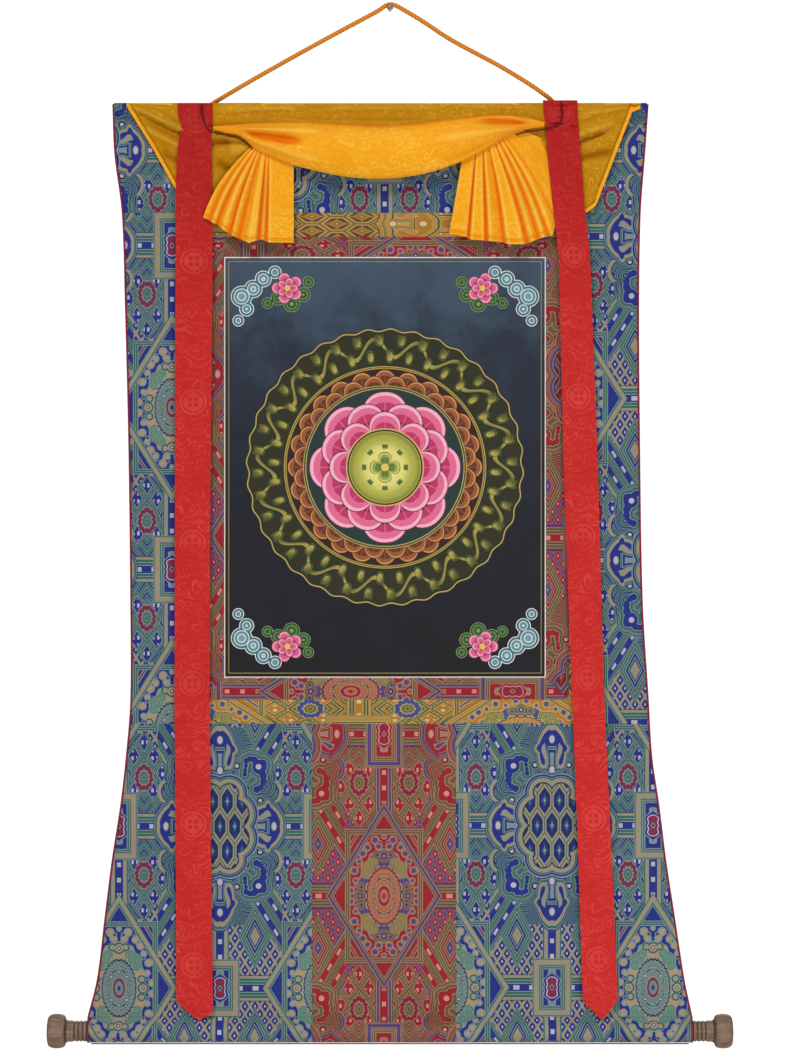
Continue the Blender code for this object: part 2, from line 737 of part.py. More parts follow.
def cover_swag(group):
    """The gathered swag, rolled over above and folded back below."""
    stations = [row[0] for row in SWAG]
    columns = 2 * (len(stations) - 1)
    section = SWAG_SECTION

    def where(u, v):
        step = u * columns / 2
        low = min(int(step + 1e-6), len(stations) - 2)
        x = mix(stations[low], stations[low + 1], step - low)
        roll, fold, full = (smooth(SWAG, x, column) for column in (1, 2, 3))
        row = section[round((1 - v) * (len(section) - 1))]
        share, fullest, at_tie = row
        z = mix(roll, fold, share)
        forward = mix(at_tie, fullest, full)
        if row in section[3:8]:
            for tie, direction, half_width, start, end, rise in SWAG_CREASES:
                strength, away = crease(x, z, tie, direction, half_width)
                along = ease((away - start) / 20.0) * ease((end - away) / 40.0)
                forward += rise * strength * along
            forward = max(forward, at_tie - 0.4)
        return place(x, forward, z)

    return sheet("swag_source", columns, len(section) - 1, where, SILK_THICK, "yellow_silk", group)


def cover_fan(name, folds, group):
    """A pleated fan that spreads from under the swag to its hem."""
    rows = 8

    def where(u, v):
        top_x, top_z, hem_x, hem_z, hem_forward, bow, lift = folds[round(u * (len(folds) - 1))]
        t = 1 - v
        x = mix(top_x, hem_x, t) + bow * math.sin(math.pi * t)
        z = mix(top_z, hem_z, t)
        forward = mix(FAN_TOP_FORWARD, hem_forward, t ** 0.8) + lift * math.sin(math.pi * t)
        return place(x, forward, z)

    return sheet(name, len(folds) - 1, rows, where, SILK_THICK, "yellow_silk", group)


def cover(parts, tools):
    """The silk cover as one cloth: flat layer, swag and fans joined at the ties."""
    body = cover_band(parts)
    pieces = (
        cover_swag(tools),
        cover_fan("fan_left_source", FAN_LEFT, tools),
        cover_fan("fan_right_source", FAN_RIGHT, tools),
    )
    for piece in pieces:
        piece.hide_render = True
        piece.display_type = "WIRE"
        join = body.modifiers.new(piece.name, "BOOLEAN")
        join.operation = "UNION"
        join.solver = "EXACT"
        join.object = piece
    return body


def dowel(group):
    """The round rod in the sleeve, with a tenon at each end."""
    end = DOWEL_HALF_LENGTH
    tip = end + TENON_LENGTH
    profile = (
        (0.0, tip), (TENON_RADIUS - 0.6, tip), (TENON_RADIUS, tip - 0.8), (TENON_RADIUS, end),
        (DOWEL_RADIUS, end), (DOWEL_RADIUS, -end),
        (TENON_RADIUS, -end), (TENON_RADIUS, 0.8 - tip), (TENON_RADIUS - 0.6, -tip), (0.0, -tip),
    )
    made = turned("dowel", profile, TURNED_STEPS, "turned_wood", group)
    made.location = place(0.0, 0.0, dowel_height())
    made.rotation_euler = (0.0, math.pi / 2, 0.0)


def dowel_height():
    return SLEEVE_BOTTOM + BROCADE_THICK / 2 + sleeve_radius()


def knob_profile():
    """The knob from its outer tip back over the ball and collar and into its socket."""
    collar, collar_length, groove = 12.3, 19.0, 1.0
    ball_length, ball_radius, neck = 21.0, 20.5, 13.4
    flare_length = 7.0
    total = collar_length + flare_length + ball_length
    socket_radius, socket_depth = TENON_RADIUS + GAP, TENON_LENGTH - (KNOB_START - DOWEL_HALF_LENGTH) + 0.6
    profile = [(0.0, total)]
    steps = 9
    for i in range(1, steps + 1):
        angle = math.pi * i / (steps + 1)
        swell = math.sin(angle) ** 0.55
        radius = mix(11.5 if i < steps / 2 else neck + 1.4, ball_radius, swell)
        profile.append((radius, total - ball_length / 2 * (1 - math.cos(angle))))
    profile.append((neck + 1.6, collar_length + flare_length - 0.4))
    profile.append((neck - 0.6, collar_length + 3.4))
    profile.append((collar + 0.6, collar_length))
    for centre in (14.5, 9.5, 4.5):
        profile += [(collar, centre + 1.3), (collar - groove, centre), (collar, centre - 1.3)]
    profile += [(collar - 0.4, 0.0), (socket_radius, 0.0), (socket_radius, socket_depth), (0.0, socket_depth)]
    return profile


def knobs(group):
    """The two turned knobs on the ends of the dowel."""
    for name, sign in (("knob_left", -1), ("knob_right", 1)):
        made = turned(name, knob_profile(), TURNED_STEPS, "turned_wood", group)
        made.location = place(sign * KNOB_START, 0.0, dowel_height())
        made.rotation_euler = (0.0, sign * math.pi / 2, 0.0)


def nail(group):
    """The round nail, its root flat against the wall."""
    head = NAIL_SHANK_LENGTH + NAIL_HEAD_THICK
    profile = (
        (0.0, head + 0.5), (NAIL_HEAD_RADIUS * 0.6, head + 0.3), (NAIL_HEAD_RADIUS, head - 0.4),
        (NAIL_HEAD_RADIUS, NAIL_SHANK_LENGTH), (NAIL_SHANK_RADIUS, NAIL_SHANK_LENGTH - 0.6),
        (NAIL_SHANK_RADIUS, 0.0), (0.0, 0.0),
    )
    made = turned("nail", profile, 16, "nail_steel", group)
    made.rotation_euler = (math.pi / 2, 0.0, 0.0)


def build():
    clear_scene()
    parts = collection("thangka_scroll")
    tools = collection("joining_shapes")
    top_panel(parts)
    side_panel("blue_left", panel_left, lambda z: YELLOW_LEFT - HALF_GAP, "blue_brocade", parts)
    side_panel("blue_right", lambda z: YELLOW_RIGHT + HALF_GAP, panel_right, "blue_brocade", parts)
    borders(parts)
    lower_panel("blue_lower_left", panel_left, lambda z: DOOR_LEFT - HALF_GAP, 6, "blue_brocade", parts)
    door_left, door_right = (lambda z: DOOR_LEFT + HALF_GAP), (lambda z: DOOR_RIGHT - HALF_GAP)
    lower_panel("red_door", door_left, door_right, 4, "red_brocade", parts)
    lower_panel("blue_lower_right", lambda z: DOOR_RIGHT + HALF_GAP, panel_right, 6, "blue_brocade", parts)
    piping("piping_left", "left", parts)
    piping("piping_right", "right", parts)
    bottom_piping(parts)
    cover(parts, tools)
    streamer("streamer_left", STREAMER_LEFT, STREAMER_LEFT_END, parts)
    streamer("streamer_right", STREAMER_RIGHT, STREAMER_RIGHT_END, parts)
    tube("tie_left", route(TIE_LEFT, 5.0), TIE_RADIUS, "tie_cord", parts)
    tube("tie_right", route(TIE_RIGHT, 5.0), TIE_RADIUS, "tie_cord", parts)
    tube("hanging_cord", route(HANGING_CORD, 11.0), CORD_RADIUS, "orange_cord", parts)
    dowel(parts)
    knobs(parts)
    nail(parts)


build()
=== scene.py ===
"""A thangka scroll painting on its nail: brocade mount, silk cover, streamers and knobs.

Lengths are in millimetres until place() turns them into metres. x runs to the right,
z runs up, and "forward" is the distance in front of the middle of the hanging cloth.
"""
import math

import bmesh
import bpy
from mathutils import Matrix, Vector


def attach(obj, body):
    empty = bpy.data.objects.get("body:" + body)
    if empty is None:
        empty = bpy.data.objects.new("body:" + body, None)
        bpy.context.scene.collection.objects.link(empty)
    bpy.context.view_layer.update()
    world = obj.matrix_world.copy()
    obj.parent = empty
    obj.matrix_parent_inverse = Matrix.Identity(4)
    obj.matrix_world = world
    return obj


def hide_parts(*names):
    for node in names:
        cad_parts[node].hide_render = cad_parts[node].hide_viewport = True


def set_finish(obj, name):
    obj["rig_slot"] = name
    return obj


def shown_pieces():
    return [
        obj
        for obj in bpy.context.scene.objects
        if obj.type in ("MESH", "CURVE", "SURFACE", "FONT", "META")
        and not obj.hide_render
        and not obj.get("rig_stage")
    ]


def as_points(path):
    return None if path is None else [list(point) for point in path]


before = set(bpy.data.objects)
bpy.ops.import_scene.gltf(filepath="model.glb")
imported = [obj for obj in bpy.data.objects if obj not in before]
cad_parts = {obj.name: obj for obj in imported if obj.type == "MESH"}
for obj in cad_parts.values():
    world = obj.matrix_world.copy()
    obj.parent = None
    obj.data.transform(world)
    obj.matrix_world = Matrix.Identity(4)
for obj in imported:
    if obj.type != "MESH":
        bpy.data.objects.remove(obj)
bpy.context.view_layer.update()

MM = 0.001
WALL_TO_CLOTH = 18

BROCADE_THICK = 1.2
SILK_THICK = 0.7
CANVAS_THICK = 1
SEAM_GAP = 0.15
# Finer rows beside a seam, where the cloth rolls back.
SEAM_STEPS = (0.5, 1.2, 2.4)
STREAMER_WIDTH = 41

CLOTH_TOP = -114
TOP_HEM_HEIGHT = 17
YELLOW_TOP = -246
RED_TOP = -274.8
CANVAS_TOP = -298.8
CANVAS_BOTTOM = -804
RED_BOTTOM = -830.4
LOWER_SEAM = -859.2
SLEEVE_STITCH = -1210.8
SLEEVE_BOTTOM = -1242
SLEEVE_ALLOWANCE_TOP = -1203
YELLOW_LEFT, YELLOW_RIGHT = -256.8, 234
RED_LEFT, RED_RIGHT = -226.8, 214.8
CANVAS_LEFT, CANVAS_RIGHT = -199.2, 187.2
DOOR_LEFT, DOOR_RIGHT = -93.6, 79.2

PIPING_RADIUS = 1.2
PIPING_INSET = 2.7
BOTTOM_PIPING_RADIUS = 0.8
SLEEVE_RADIUS = 13
DOWEL_HALF_LENGTH = 360.6
DOWEL_HEIGHT = -1228
KNOB_START = 363.6
GROOVES = (14.5, 9.5, 4.5)
CORD_RADIUS = 2.8
TIE_RADIUS = 0.8

# The outer edges of the hanging, piping included.
OUTLINE = (
    # z, left, right
    (-114, -333.6, 310.8), (-174, -331.2, 306.6), (-246, -322.2, 301.2),
    (-350.4, -318.6, 299.4), (-518.4, -314.4, 300.4), (-710.4, -312, 303.6),
    (-830.4, -312, 310.8), (-898.8, -317.4, 315), (-956.4, -324, 323.4),
    (-1022.4, -334.2, 331.7), (-1094.4, -343.2, 342.7), (-1166.4, -352.2, 353.8),
    (-1210.8, -363.3, 363.3),
)
STREAMER_LEFT = (
    # z, left, right, forward
    (-115.2, -254.4, -212.6, 7.8), (-131, -253.6, -212.6, 8.3), (-143, -249.8, -212.8, 8.8),
    (-158, -253, -213.4, 8.9), (-220, -256.6, -213, 8.8), (-278.4, -256.8, -212.4, 8.2),
    (-480, -257.6, -214, 7.2), (-590, -257.6, -215.2, 8), (-830.4, -258, -216, 7),
    (-885, -257.6, -215.4, 7.6), (-1060, -256.4, -213.8, 7), (-1191.6, -255.8, -212, 7.6),
)
STREAMER_LEFT_END = {"left_z": -1191.6, "right_z": -1204.3, "tip_x": -229.4, "tip_z": -1214.4}
STREAMER_RIGHT = (
    # z, left, right, forward
    (-112, 183, 224.4, 7.8), (-130, 184.4, 225, 8.4), (-141, 186.4, 225.6, 9.2),
    (-170.4, 187.8, 228, 10), (-236, 194.6, 232.8, 9.8), (-298.8, 201.6, 239.3, 8.8),
    (-420, 205, 244, 7.4), (-577.2, 208.8, 249.6, 7.8), (-830.4, 218.4, 256.8, 7),
    (-1000, 224.8, 264.6, 7.8), (-1190.4, 231, 272.8, 7.6),
)
STREAMER_RIGHT_END = {"left_z": -1191.6, "right_z": -1189.2, "tip_x": 254.4, "tip_z": -1213.8}

# Where a tie pulls each streamer in: share of its width, half width, z, half height, rise.
PINCHES_LEFT = (
    (0.66, 0.04, -124, 12, -1.6), (0.74, 0.05, -136, 7, -1.4), (0.90, 0.06, -143, 3, -1.6),
    (0.84, 0.05, -121, 4, -1.2), (0.92, 0.04, -130, 4, -1.2), (0.80, 0.04, -129, 3, -1.1),
    (0.87, 0.10, -126, 8, 1), (0.40, 0.20, -148, 3, -0.8), (0.20, 0.12, -130, 9, 0.5),
    (0.24, 0.05, -122, 3, -0.9), (0.46, 0.05, -129, 3, -0.9),
)
PINCHES_RIGHT = (
    (0.36, 0.30, -140.2, 1.8, -2.4), (0.84, 0.20, -143.4, 1.8, -2.2), (0.50, 0.50, -147, 3.6, 0.8),
    (0.54, 0.04, -126, 8, -1.8), (0.30, 0.12, -130, 8, 0.8), (0.80, 0.12, -131, 8, 0.9),
    (0.50, 0.60, -118.4, 1.6, -1.4), (0.34, 0.05, -124, 3, -1.2), (0.70, 0.05, -124, 3, -1.2),
)

# The lower edge of the cover's flat layer: its two wings and the band between them.
COVER_TOP = -115
COVER_BAND = (
    # x, bottom
    (-315.6, -119), (-286, -166.7), (-255.2, -221.5), (-244.8, -240), (-212.4, -247.2),
    (-180, -236.4), (-153.6, -222), (-146, -176), (-110, -168), (80, -166),
    (146, -168), (154, -216), (190, -238), (222, -243), (236.4, -246),
    (247, -237.6), (290, -126), (300, -122),
)
# Ridges and hollows of the flat layer, each from one end to the other.
BAND_CREASES = (
    # start x, start z, end x, end z, half width, rise
    (-305.5, -121.4, -251.5, -146.6, 2.8, 5.6), (-298, -118.6, -252, -139, 2.2, -2),
    (-296, -129.6, -250, -153, 2.6, -2.4), (-290, -148, -252, -167.3, 2.8, 3.2),
    (-286, -141, -256, -157, 2.4, -1.8), (-270, -176, -248, -188, 5, -1.8),
    (-213, -153, -184, -158, 3, 3), (-214, -164, -194, -161, 4, -3.4),
    (-190, -172, -164, -168, 7, 3.4), (-206, -186, -190, -196, 5, -2),
    (-200, -123, -120, -121, 2.6, 2.4), (-208, -129, -110, -128, 2.4, -1.6),
    (-120, -131, 20, -133, 4, -2.2), (-60, -121, 60, -119, 3, 2),
    (60, -126, 150, -124, 2.8, -1.8), (90, -119, 170, -121, 2.4, 2),
    (226, -154.7, 263.6, -140.9, 2.8, 5), (226, -161.5, 254, -151.5, 3.2, -3),
    (232, -130, 280, -120.6, 2.4, 2.4), (232, -136, 276, -127, 2.6, -1.8),
    (228, -181, 262, -173, 5, -2.4), (232, -190, 258, -187, 4, 1.6),
)
HEM_WIDTH, HEM_RISE = 5.4, 0.6
# How far forward the flat layer lies at rest, and at least over the panel's stiffened hem.
BAND_REST, BAND_OVER_HEM = 5.9, 5.5
TIE_POINTS = {"left": (-212, -146), "right": (186, -142)}

# The swag: its upper roll, its lower fold and how full it hangs, from tie to tie.
SWAG = (
    # x, upper roll, lower fold, fullness
    (-211.4, -143.4, -147.8, 0.08), (-194.4, -142.2, -151.8, 0.15), (-178.8, -140.8, -155.6, 0.24),
    (-159.6, -139.9, -171.6, 0.38), (-138, -139.4, -181.2, 0.54), (-116.4, -139.2, -189.6, 0.68),
    (-84, -140.2, -198, 0.85), (-48, -142.4, -204.6, 0.95), (-6, -144, -206.4, 1.00),
    (36, -140.6, -201.6, 0.98), (66, -136.8, -193.2, 0.92), (90, -133.8, -183.6, 0.82),
    (120, -130.6, -166.8, 0.60), (144, -130.4, -152.4, 0.38), (168, -133.6, -146.6, 0.20),
    (184.6, -138.4, -144.4, 0.10),
)
SWAG_SECTION = (
    # share of the drop, forward where it hangs fullest, forward at a tie
    (-0.03, 5.4, 5.6), (0.00, 8, 8.8), (0.05, 11.6, 11.4), (0.15, 16, 12.8),
    (0.32, 20.6, 13.2), (0.55, 24, 13.4), (0.78, 23.2, 13.4), (0.92, 20.4, 13.2),
    (0.99, 17.4, 12.6), (1.00, 14.6, 11.6), (0.97, 12, 10.6), (0.86, 10.6, 9.8),
    (0.60, 10.2, 9.4),
)
# Hollows and ridges that run out from the ties over the swag.
SWAG_CREASES = (
    # tie, direction in degrees, half width in degrees, start, end, rise
    ("left", -9, 3.6, 34, 122, -6.5), ("left", -18, 2.6, 36, 150, 2.2),
    ("left", -2, 2.4, 26, 150, 2.8), ("left", -13.5, 1.4, 84, 150, 1.4),
    ("right", 176, 4.2, 14, 96, -5), ("right", 168, 3, 20, 130, 2),
    ("right", -172, 3.4, 24, 150, 2.2), ("right", -160, 3, 60, 150, -1.6),
)

# Each fold of a fan, from under the swag to its hem. Bow is how far its middle
# swings sideways, and lift is how far its middle stands off the straight line.
FAN_LEFT = (
    # top_x, top_z, hem_x, hem_z, forward, bow, lift
    (-161.5, -163, -223.6, -252.6, 12.6, -9, 0.5),
    (-160, -164, -216.2, -256.2, 11.6, -7, 0),
    (-158.6, -165, -211.2, -259.8, 15, -6, 0.8),
    (-157.2, -166, -206.4, -261.2, 10.8, -5, -0.4),
    (-156.4, -166.6, -199.6, -267.6, 15.6, -4, 1),
    (-155.6, -167.2, -191.6, -272.6, 11.2, -3, -0.6),
    (-154.2, -168, -188.4, -274.8, 16.4, -3, 1),
    (-152.8, -169, -180.7, -277.8, 10.6, -1, -0.6),
    (-151.2, -170, -168.2, -283.8, 17.6, 0, 1.2),
    (-149.6, -171, -162.4, -281.6, 16.8, 0, 1),
    (-148.2, -172, -157, -279.6, 11, 0, -0.6),
    (-146.8, -173, -152.4, -279.4, 15.8, 0.6, 0.8),
    (-145.2, -174, -148.2, -281.2, 11.2, 0.6, -0.6),
    (-143.4, -174.6, -144.2, -282.8, 13.4, 0, 0.4),
    (-115.2, -183, -115.2, -283.2, 12.4, 0, 0.4),
)
FAN_RIGHT = (
    # top_x, top_z, hem_x, hem_z, forward, bow, lift
    (87.6, -175, 71, -272.2, 12.2, 0, 0.4),
    (101.6, -169, 91.2, -276, 13.8, 0, 0.6),
    (103.2, -168, 93.2, -277.8, 10.6, 0, -0.6),
    (104.8, -167, 97.2, -279.6, 15.8, 0, 1),
    (109.6, -165, 111.6, -280.2, 15, 0, 1),
    (111.2, -164, 115.2, -280.8, 10.6, 0, -0.6),
    (112.8, -163, 120, -281.4, 16.4, 0, 1),
    (116.8, -161, 135.6, -282.6, 11.2, 2, -0.6),
    (118.4, -160, 141.6, -285.4, 17.6, 2, 1.2),
    (121.6, -158.6, 158.4, -285.2, 16.2, 3, 1),
    (123.2, -157.6, 164.4, -284, 10.6, 3, -0.6),
    (124.8, -156.6, 170.4, -281.6, 15.4, 4, 1),
    (127.6, -155, 177.6, -278.4, 10.2, 4, -0.6),
    (129.2, -154, 183.6, -276.6, 13.6, 5, 1),
    (131.2, -152.6, 189.6, -274.8, 10, 5, -0.4),
    (132.8, -151.6, 194.4, -273.8, 10.6, 6, 0.6),
    (134.4, -150.6, 199, -256.8, 7, 5, 0.6),
    (136, -149.6, 198.4, -237.6, 7, 5, 2.6),
    (137.6, -148.6, 197.4, -222, 7, 4, 0.2),
    (139.4, -147.4, 195.8, -207.6, 7, 3, 2.8),
    (142.6, -146, 191.2, -182.4, 7, 2, 1.4),
    (148.8, -144, 180, -156.8, 8.4, 0, 1),
)
FAN_TOP_FORWARD = 10.9

# The hanging cord, from behind the top hem over the nail and back.
HANGING_CORD = (
    # x, forward, z
    (-222, -8.2, -128), (-219.8, -8.2, -119.8), (-212, -8, -112.8), (-197.4, -7.7, -104),
    (-166.8, -7.1, -86.2), (-136.2, -6.4, -69), (-113.2, -5.9, -56.2), (-90.2, -5.4, -43.6),
    (-59.6, -4.8, -27), (-29, -4.2, -10.8), (-14, -3.8, -2.6), (-6.4, -3.6, 2.6),
    (0, -3.6, 4.9), (6.4, -3.6, 3.6), (14.2, -3.8, -0.4), (31.7, -4.3, -10.6),
    (46.2, -4.6, -19.8), (63.6, -5, -31.4), (81.1, -5.4, -41.8), (101.4, -5.9, -52.6),
    (127.7, -6.5, -66.4), (148, -7, -78.2), (168.4, -7.4, -90.8), (182.9, -7.8, -100.8),
    (193.2, -8, -108.6), (198.2, -8.2, -116), (199.4, -8.2, -124.6),
)
TIE_LEFT = (
    # x, forward, z
    (-224.6, 9.8, -117), (-224.4, 10.2, -128), (-223, 10.9, -137), (-218.6, 11.2, -145),
    (-212.4, 11.6, -150.6), (-205, 12, -152.4), (-194.4, 12.4, -154.8),
    (-178.8, 12.8, -158.8), (-170.5, 13.1, -165.2), (-164.5, 13.3, -171),
)
TIE_RIGHT = (
    # x, forward, z
    (205.2, 9.9, -114), (205.4, 10.5, -126), (205, 11.4, -136), (200.4, 11.7, -141.8),
    (190, 12, -145.6), (181, 12.4, -148.2), (168, 13, -150.2), (158, 13.4, -152.2),
    (151, 13.5, -154.4),
)


def place(x, forward, z):
    """A point of the hanging, in metres."""
    return Vector((x, -(WALL_TO_CLOTH + forward), z)) * MM


def mix(start, end, share):
    return start + (end - start) * share


def ease(share):
    """A share from 0 to 1 that starts and ends slowly."""
    share = min(max(share, 0), 1)
    return share * share * (3 - 2 * share)


def hermite(start, start_slope, end, end_slope, t):
    """A point at t, from 0 to 1, of a smooth curve with given ends and slopes."""
    return (start * (2 * t**3 - 3 * t**2 + 1) + start_slope * (t**3 - 2 * t**2 + t)
            + end * (3 * t**2 - 2 * t**3) + end_slope * (t**3 - t**2))


def smooth(rows, at, column):
    """Read a table at a place, on a smooth curve through its rows."""
    ordered = sorted(rows, key=lambda row: row[0])
    places = [row[0] for row in ordered]
    values = [row[column] for row in ordered]
    last = len(places) - 1
    if at <= places[0]:
        return values[0]
    if at >= places[last]:
        return values[last]
    low = max(i for i in range(last) if places[i] <= at)
    span = places[low + 1] - places[low]
    slopes = []
    for i in (low, low + 1):
        before, after = max(i - 1, 0), min(i + 1, last)
        slopes.append((values[after] - values[before]) / (places[after] - places[before]))
    return hermite(values[low], slopes[0] * span, values[low + 1], slopes[1] * span,
                   (at - places[low]) / span)


def bump(distance, reach):
    """How strong a soft ridge is at a distance from its line."""
    return math.exp(-(distance / reach) ** 2)


def linear(rows, at, column):
    """Read a table at a place, on straight lines between its rows."""
    for near, far in zip(rows, rows[1:]):
        if at <= far[0]:
            share = max(0, (at - near[0]) / (far[0] - near[0]))
            return mix(near[column], far[column], share)
    return rows[-1][column]


def panel_left(z):
    """The left edge of the brocade, inside its piping."""
    return smooth(OUTLINE, z, 1) + PIPING_INSET


def panel_right(z):
    return smooth(OUTLINE, z, 2) - PIPING_INSET


def ripple(x, z):
    """How far the cloth stands forward or back from flat, in its soft waves."""
    share = (CLOTH_TOP - TOP_HEM_HEIGHT - z) / (CLOTH_TOP - TOP_HEM_HEIGHT - SLEEVE_ALLOWANCE_TOP)
    if share <= 0 or share >= 1:
        return 0
    waves = 0.9 * math.cos(x / 98 + 0.6) + 0.5 * math.sin(x / 41 + z / 160)
    curl = 1.6 * abs(x / 330) ** 5
    return (waves + curl) * math.sin(math.pi * share) ** 0.6


def steps(start, end, spacing, fine=()):
    """Even places from start to end, with finer ones by the ends for a rolled seam."""
    count = max(2, round(abs(end - start) / spacing))
    spots = {round(mix(start, end, i / count), 4) for i in range(count + 1)}
    sign = 1 if end > start else -1
    for offset in fine:
        spots |= {round(start + sign * offset, 4), round(end - sign * offset, 4)}
    return sorted(spots, reverse=end < start)


def seam_shares(start, end, spacing):
    """Places between two seams as shares from 0 to 1."""
    return [(at - start) / (end - start) for at in steps(start, end, spacing, SEAM_STEPS)]


def seamed(edge, gap):
    """A piece's edge as a function of height. A straight one stops short of its seam."""
    return edge if callable(edge) else lambda z: edge + gap


# ---------------------------------------------------------------- making the pieces

def finished(name, mesh, slot, nodes=()):
    """Put a finished mesh in the scene as a piece of the object."""
    piece = bpy.data.objects.new(name, mesh)
    bpy.context.scene.collection.objects.link(piece)
    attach(piece, "root")
    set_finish(piece, slot)
    if nodes:
        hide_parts(*nodes)
    return piece


# Where the eight-lobed medallion's middle lies on each piece of brocade.
FIGURE_AT = {
    "blue_lower_left": (-204, -982), "blue_lower_right": (194.4, -981),
    "red_door": (-128.4, -871.2), "blue_top": (-127.6, -171),
    "blue_left": (-382.8, -673.9), "blue_right": (336, -663),
    "yellow_top": (-63.6, -259.2), "red_top": (-163.6, -204.7),
    "yellow_bottom": (-37.2, -749.9), "red_bottom": (-241.6, -699.1),
    "yellow_left": (-250, -420), "yellow_right": (238, -420),
    "red_left": (-271.7, -439.4), "red_right": (231.6, -441.6),
    "canvas": (-6, -551.4), "streamer_left": (0, 0), "streamer_right": (0, 7.2),
}
# Strips cut across the brocade, so that its figure lies on its side.
TURNED = ("yellow_top", "yellow_bottom", "red_top", "red_bottom")


def woven(downs, acrosses, spot):
    """Rows of points and rows of flat places, from a function that gives both for one spot."""
    made = [[spot(down, across) for across in acrosses] for down in downs]
    return tuple([[pair[i] for pair in line] for line in made] for i in (0, 1))


def grid_mesh(name, grid, flats):
    """A mesh over a grid of points, with the cloth's own flat coordinates as its UV map."""
    at_x, at_z = FIGURE_AT.get(name, (0, 0))
    rows, columns = len(grid), len(grid[0])
    points = [place(*spot) for line in grid for spot in line]
    starts = [j * columns + i for j in range(rows - 1) for i in range(columns - 1)]
    faces = [(a, a + 1, a + columns + 1, a + columns) for a in starts]
    mesh = bpy.data.meshes.new(name)
    mesh.from_pydata(points, [], faces)
    layer = mesh.uv_layers.new(name="cloth")
    # A second map holds painted shade for folds and hollows in its first value, and a painted
    # highlight for ridges in its second.
    depth = mesh.uv_layers.new(name="painted shade and highlight")
    flat = [spot for line in flats for spot in line]
    for loop in mesh.loops:
        s, t, deep, painted_highlight = (*flat[loop.vertex_index], 0, 0)[:4]
        uv = ((s - at_x) * MM, (t - at_z) * MM)
        layer.data[loop.index].uv = uv[::-1] if name in TURNED else uv
        depth.data[loop.index].uv = (deep, painted_highlight)
    return mesh


def outward(mesh):
    """Turn all of a closed mesh's faces outward."""
    shape = bmesh.new()
    shape.from_mesh(mesh)
    bmesh.ops.recalc_face_normals(shape, faces=shape.faces)
    shape.to_mesh(mesh)
    shape.free()


def cloth(name, grid, flats, thick, slot, nodes=()):
    """A sheet of cloth of even thickness over a grid of points."""
    mesh = grid_mesh(name, grid, flats)
    sides = [bpy.data.materials.new(side) for side in ("face", "reverse")]
    if mesh.polygons[0].normal.y > 0:
        sides.reverse()
    for side in sides:
        mesh.materials.append(side)
    piece = finished(name + "_cloth", mesh, slot, nodes)
    wall = piece.modifiers.new("thickness", "SOLIDIFY")
    wall.thickness = thick * MM
    wall.offset = 0
    wall.use_even_offset = True
    wall.material_offset = 1
    bpy.ops.object.select_all(action="DESELECT")
    bpy.context.view_layer.objects.active = piece
    piece.select_set(True)
    bpy.ops.object.modifier_apply(modifier=wall.name)
    for face in piece.data.polygons:
        face.use_smooth = True
    bpy.ops.object.shade_smooth_by_angle(angle=math.radians(50))
    piece.select_set(False)
    return piece


def roll(distance):
    """How far a sewn edge turns back towards the seam."""
    return -0.75 * math.exp(-distance / 1.1)


def panel(name, left, right, top, bottom, slot, spacing=5):
    """A piece of brocade or canvas between its seams. A curved side is a function of height."""
    left, right = seamed(left, SEAM_GAP), seamed(right, -SEAM_GAP)
    top, bottom = top - SEAM_GAP, bottom + SEAM_GAP
    middle = (top + bottom) / 2
    width = right(middle) - left(middle)

    def spot(z, u):
        x = mix(left(z), right(z), u)
        edge = min(x - left(z), right(z) - x, abs(top - z), abs(z - bottom))
        return (x, ripple(x, z) + roll(edge), z), (x, z)

    grid, flats = woven(steps(top, bottom, spacing, SEAM_STEPS),
                        seam_shares(left(middle), right(middle), spacing), spot)
    thick = CANVAS_THICK if slot == "painted_canvas" else BROCADE_THICK
    piece = cloth(name, grid, flats, thick, slot, (name,))
    width * MM
    abs(top - bottom) * MM


def curve_through(spots, spacing):
    """Evenly spaced spots on one smooth curve through a list of spots."""
    path = []
    for i in range(len(spots) - 1):
        before, start = spots[max(i - 1, 0)], spots[i]
        end, after = spots[i + 1], spots[min(i + 2, len(spots) - 1)]
        count = max(1, round(math.dist(start, end) / spacing))
        for k in range(count):
            path.append(tuple(hermite(p1, (p2 - p0) / 2, p2, (p3 - p1) / 2, k / count)
                              for p0, p1, p2, p3 in zip(before, start, end, after)))
    path.append(tuple(spots[-1]))
    return path


def along(path):
    """The distance run along a path at each of its points."""
    run = [0]
    for near, far in zip(path, path[1:]):
        run.append(run[-1] + math.dist(near, far))
    return run


def wrapped_panel(name, left, right, path, start_z, slot, nodes, upward=-1, spacing=5):
    """A piece of cloth that follows a path of forward and height, folded round something."""
    left, right = seamed(left, SEAM_GAP), seamed(right, -SEAM_GAP)
    run = along(path)
    middle = path[len(path) // 3][1]
    width = right(middle) - left(middle)

    def spot(row, u):
        (forward, z), distance = row
        x = mix(left(z), right(z), u)
        edge = min(x - left(z), right(z) - x, distance)
        return (x, forward + ripple(x, z) + roll(edge), z), (x, start_z + upward * distance)

    grid, flats = woven(zip(path, run), seam_shares(left(middle), right(middle), spacing), spot)
    return cloth(name, grid, flats, BROCADE_THICK, slot, nodes), width, run[-1]


# ---------------------------------------------------------------- the brocade mount

def top_panel():
    """The top panel, folded over what stiffens it and sewn down behind."""
    foot = CLOTH_TOP - TOP_HEM_HEIGHT
    front = [(0, z) for z in steps(foot - 6, YELLOW_TOP + SEAM_GAP, 5, SEAM_STEPS)]
    front.reverse()
    hem = ((0.5, -2.2), (2.6, 1.4), (4.1, 5), (4.4, 9.4), (3.4, 13.8), (1.6, 16), (0, 16.4),
           (-1.6, 16), (-3.4, 13.8), (-4.4, 9.4), (-4.1, 5), (-2.8, 1.4), (-1.9, -2),
           (-1.7, -6), (-1.7, -9))
    bent = [front[-1], *((forward, foot + rise) for forward, rise in hem)]
    path = front + curve_through(bent, 2)[1:]
    piece, width, length = wrapped_panel(
        "blue_top", panel_left, panel_right, path, YELLOW_TOP, "blue_brocade", ("blue_top",), 1)
    width * MM
    length * MM


